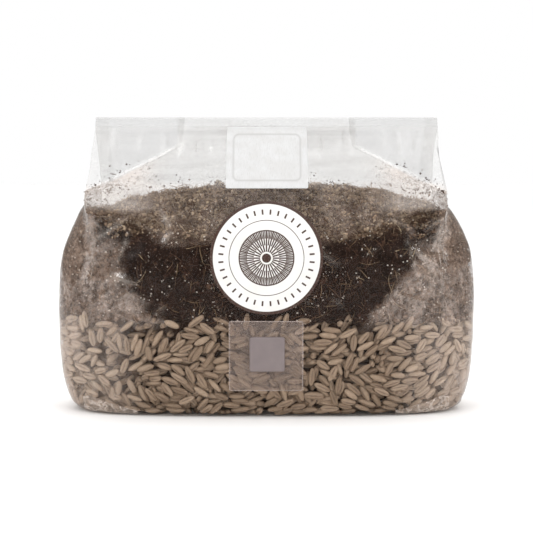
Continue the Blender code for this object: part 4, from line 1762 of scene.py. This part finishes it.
def filter_finish():
    f = Finish("nonwoven_filter")
    threads = f.noise(1.0, 5.0, f.moved(scale=(0.35 * mm, 3 * mm, 2.6 * mm)), 0.75)
    felt = f.noise(0.5 * mm, 4.0, rough=0.7)
    soft = f.spread(f.noise(7 * mm), 0.35, 0.65)
    shade = f.mix(soft, rgb(208, 208, 208), rgb(202, 201, 200))
    # Painted shade: darker along the weld groove.
    shade = f.mix(f.times(f.carried("weld"), 0.7), shade, rgb(176, 174, 172))
    f.set(
        Base_Color=f.mix(f.spread(threads, 0.5, 0.72), shade, rgb(188, 187, 185)),
        Roughness=f.spread(felt, 0.3, 0.7, 0.82, 0.97),
    )
    f.bump(f.plus(threads, f.times(felt, 0.6)), 0.16 * mm, 0.8)
    return f.made


patch_half = half_size("filter_patch")
patch, patch_middle = draped_sheet(
    "breathing_filter", *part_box("filter_patch"), rounded_shape(patch_half.x, patch_half.z, 0.7 * mm), 96,
    thickness=0.30 * mm, gap=0.04 * mm, relief=filter_relief,
)
at = vectors_of(patch.data.vertices, "co") - np.array(patch_middle)
weld_off = weld_distance(at[:, 0], at[:, 2], patch_half.x, patch_half.z)
set_attribute(patch.data, "weld", np.exp(-(weld_off / (0.45 * mm)) ** 2))
patch.data.materials.append(filter_finish())

# %% [markdown]
# ## The injection port
#
# Spores are injected through a pad of soft grey rubber that closes again behind the needle. A square of clear
# adhesive film seals it to the bag, a little milky where the glue lies. The pad is a block with its own
# rounded edges and a slightly dished face.

# %% Injection port
PORT_FILM_PASSES = 0.95


def port_film_finish(middle, half):
    f = Finish("port_adhesive_film")
    x, _, z = f.axes(f.moved((middle.x, 0.0, middle.z)))
    from_edge = f.math(
        "MINIMUM",
        f.minus(half.x, f.size_of(x)),
        f.minus(half.z, f.size_of(z)),
    )
    # Painted highlight: a lighter line along the film's cut edge.
    border = f.spread(from_edge, 0.2 * mm, 0.6 * mm, 0.22, 0.0, smooth=True)
    glue = f.spread(f.noise(7 * mm, 3.0), 0.3, 0.7, 0.08, 0.15)
    share = f.plus(f.plus(glue, border), f.edge_on(4.0, 0.7), clamp=True)
    tone = f.mix(f.spread(border, 0.0, 0.2), rgb(190, 170, 160), rgb(206, 190, 182))
    f.set(Base_Color=tone, Roughness=f.spread(glue, 0.1, 0.3, 0.34, 0.46))
    f.see_through(share, PORT_FILM_PASSES)
    return f.made


# %% Rubber pad
def pad_finish():
    f = Finish("grey_rubber")
    fine = f.noise(0.35 * mm, 4.0, rough=0.7)
    cloud = f.spread(f.noise(5 * mm, 3.0), 0.3, 0.7)
    shade = f.mix(cloud, rgb(118, 107, 107), rgb(125, 114, 113))
    f.set(
        Base_Color=f.mix(f.spread(fine, 0.6, 0.8, 0.0, 0.4), shade, rgb(98, 88, 87)),
        Roughness=f.spread(fine, 0.3, 0.7, 0.55, 0.7),
    )
    f.bump(fine, 0.04 * mm, 0.5)
    return f.made


def pad_relief(x, z):
    """Rounded shoulders all round and a face dished by a tenth of a millimetre."""
    half_x, half_z = 0.5 * np.ptp(x), 0.5 * np.ptp(z)
    inside = np.minimum(half_x - np.abs(x), half_z - np.abs(z))
    shoulder = np.sqrt(np.clip(1.0 - (1.0 - np.clip(inside / (0.55 * mm), 0.0, 1.0)) ** 2, 0.0, 1.0))
    dish = 0.10 * mm * smooth_step(1.0 * mm, 6.0 * mm, inside)
    return 0.75 * mm * shoulder - dish


port_half = half_size("port_film")
port_sheet, port_middle = draped_sheet(
    "port_clear_film", *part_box("port_film"), rounded_shape(port_half.x, port_half.z, 0.8 * mm), 48,
    thickness=0.12 * mm, gap=0.12 * mm, even=20,
)
port_sheet.data.materials.append(port_film_finish(port_middle, port_half))
pad_half = half_size("port_pad")
pad = draped_sheet(
    "port_rubber_pad", *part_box("port_pad"), rounded_shape(pad_half.x, pad_half.z, 1.4 * mm), 56,
    thickness=0.55 * mm, gap=0.18 * mm, relief=pad_relief, even=12,
)[0]
pad.data.materials.append(pad_finish())

# %% [markdown]
# ## Folded corners at the foot
#
# A gusseted bag has spare film at its lower corners, folded into small ears that lie against the front. Each
# is a draped sheet again, low at its inner end, crumpled by a little noise.

# %% Corner ears
EAR_OUTER_X = 89 * mm
EAR_INNER_X = 62 * mm
EAR_FOOT_Z = 0.9 * mm
EAR_TOP_Z = 11 * mm


def ear_shape(side):
    """Full height at the outer end, a thin strip at the inner end."""
    def shape(a, b):
        outward = 0.5 * (1.0 + side * a)
        height = 0.22 + 0.78 * outward ** 1.3 - 0.25 * max(0.0, outward - 0.85) / 0.15
        return a, -1.0 + (b + 1.0) * height
    return shape


def ear_relief(x, z):
    places = np.column_stack((x.ravel(), np.zeros(x.size), z.ravel()))
    ridges = 1.0 - 2.0 * np.abs(field(places, 6 * mm, 2, seed=2.7))
    return 0.40 * mm * ridges.reshape(x.shape)


def ear_finish():
    f = Finish("folded_film")
    ridge = f.size_of(f.minus(f.noise(5 * mm, 3.0), 0.5))
    # Painted highlight: white lines along the ridges of a noise.
    crest = f.spread(ridge, 0.0, 0.042, 0.42, 0.0)
    share = f.plus(f.plus(crest, 0.12), f.edge_on(3.0, 0.6), clamp=True)
    f.set(
        Base_Color=f.mix(crest, rgb(214, 196, 182), rgb(246, 240, 235)),
        Roughness=f.spread(ridge, 0.0, 0.2, 0.14, 0.24),
    )
    f.see_through(share, FILM_PASSES)
    return f.made


ear_paint = ear_finish()
ears = []
for name, side in (("left_corner_ear", -1), ("right_corner_ear", 1)):
    ends = sorted((side * EAR_OUTER_X, side * EAR_INNER_X))
    low = Vector((ends[0], 0.0, EAR_FOOT_Z))
    high = Vector((ends[1], 0.0, EAR_TOP_Z))
    ear = draped_sheet(
        name, low, high, ear_shape(side), 40, thickness=0.1 * mm, gap=0.35 * mm, relief=ear_relief, even=2
    )[0]
    ear.data.materials.append(ear_paint)
    ears.append(ear)

# %% [markdown]
# ## Specks on the film
#
# When the bag is filled, crumbs stick to the inside of the film, most of all below the folded corners. Their
# places are drawn at random along that line and carried onto the film by rays, front and back, and the tree
# that set the grains sets them too.

# %% Specks
def speck_places(count, seed):
    """Across and up: four in five by the folded corners, the rest along the top of the heap."""
    draw = np.random.default_rng(seed)
    corner = draw.random(count) < 0.82
    side = draw.choice((-1.0, 1.0), count)
    across = np.where(corner, 52 + 37 * np.sqrt(draw.random(count)), draw.uniform(20, 82, count))
    fold_z = FOLD_LINE_TOP - FOLD_LINE_FALL * across
    off = np.where(
        draw.random(count) < 0.2,
        draw.normal(1.0, 2.5, count),
        -np.abs(draw.normal(0.0, 5.5, count)),
    )
    z = np.where(corner, fold_z + off, 110 + np.abs(draw.normal(0.0, 3.0, count)))
    return side * across * mm, np.maximum(z, 97) * mm


# %% Set the specks
def film_specks(count, seed):
    draw = np.random.default_rng(seed + 1)
    x, z = speck_places(count, seed)
    places, facing = [], []
    for k in range(count):
        front = -1.0 if draw.random() < 0.6 else 1.0
        start, way = Vector((x[k], front, z[k])), Vector((0.0, -front, 0.0))
        hit, normal = film_skin.ray_cast(start, way)[:2]
        if hit is None:
            continue
        places.append(hit - normal * 0.3 * mm)
        facing.append(normal)
    facing = np.array([tuple(n) for n in facing])
    axis = unit(np.cross(facing, draw.normal(0.0, 1.0, facing.shape)))
    size = (0.20 + 0.50 * draw.random(len(places)) ** 2.5) * mm
    long = np.where(draw.random(len(places)) < 0.04, draw.uniform(1.8, 3.0, len(places)), 1.0)
    thin = np.where(long > 1.0, 0.6, 1.0)
    scale = np.column_stack((size * long, size * thin, size * 0.6))
    return cloud_of("speck_points", places, axis, facing, scale)


speck_paint = toned_finish("film_specks", (
    (0.0, rgb(58, 38, 28)), (0.45, rgb(82, 58, 44)), (0.85, rgb(126, 100, 78)),
), 0.9, 1.5 * mm, 0.2 * mm, side_reflection_share=0.0)
speck_shape = put_in_scene(lump("one_speck", 77))
cloud = film_specks(900, 9)
mesh = run_tree(cloud, grains_tree, {"Grain": speck_shape, "Finish": speck_paint, "Seed": 5})
specks = keep_piece("clinging_specks", mesh, speck_paint)
drop(cloud)
drop(speck_shape)

# %% [markdown]
# ## Hand over
#
# Every piece is told which body it rides on, and the solid that it stands for is hidden. The
# bag has no moving parts, so there is one body.

# %% Hand over
def hand_over(obj, slot, *nodes):
    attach(obj, "root")
    if nodes:
        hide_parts(*nodes)


for piece in [film] + ears:
    hand_over(piece, "bag_film", "bag_film")
for piece in grain_pieces + [grain_core]:
    hand_over(piece, "grain_bed", "grain_bed")
for piece in soil_pieces + [specks]:
    hand_over(piece, "substrate_bed", "substrate_bed")
hand_over(label, "round_label", "round_label")
hand_over(patch, "filter_patch", "filter_patch")
hand_over(port_sheet, "port_film", "port_film")
hand_over(pad, "port_pad", "port_pad")
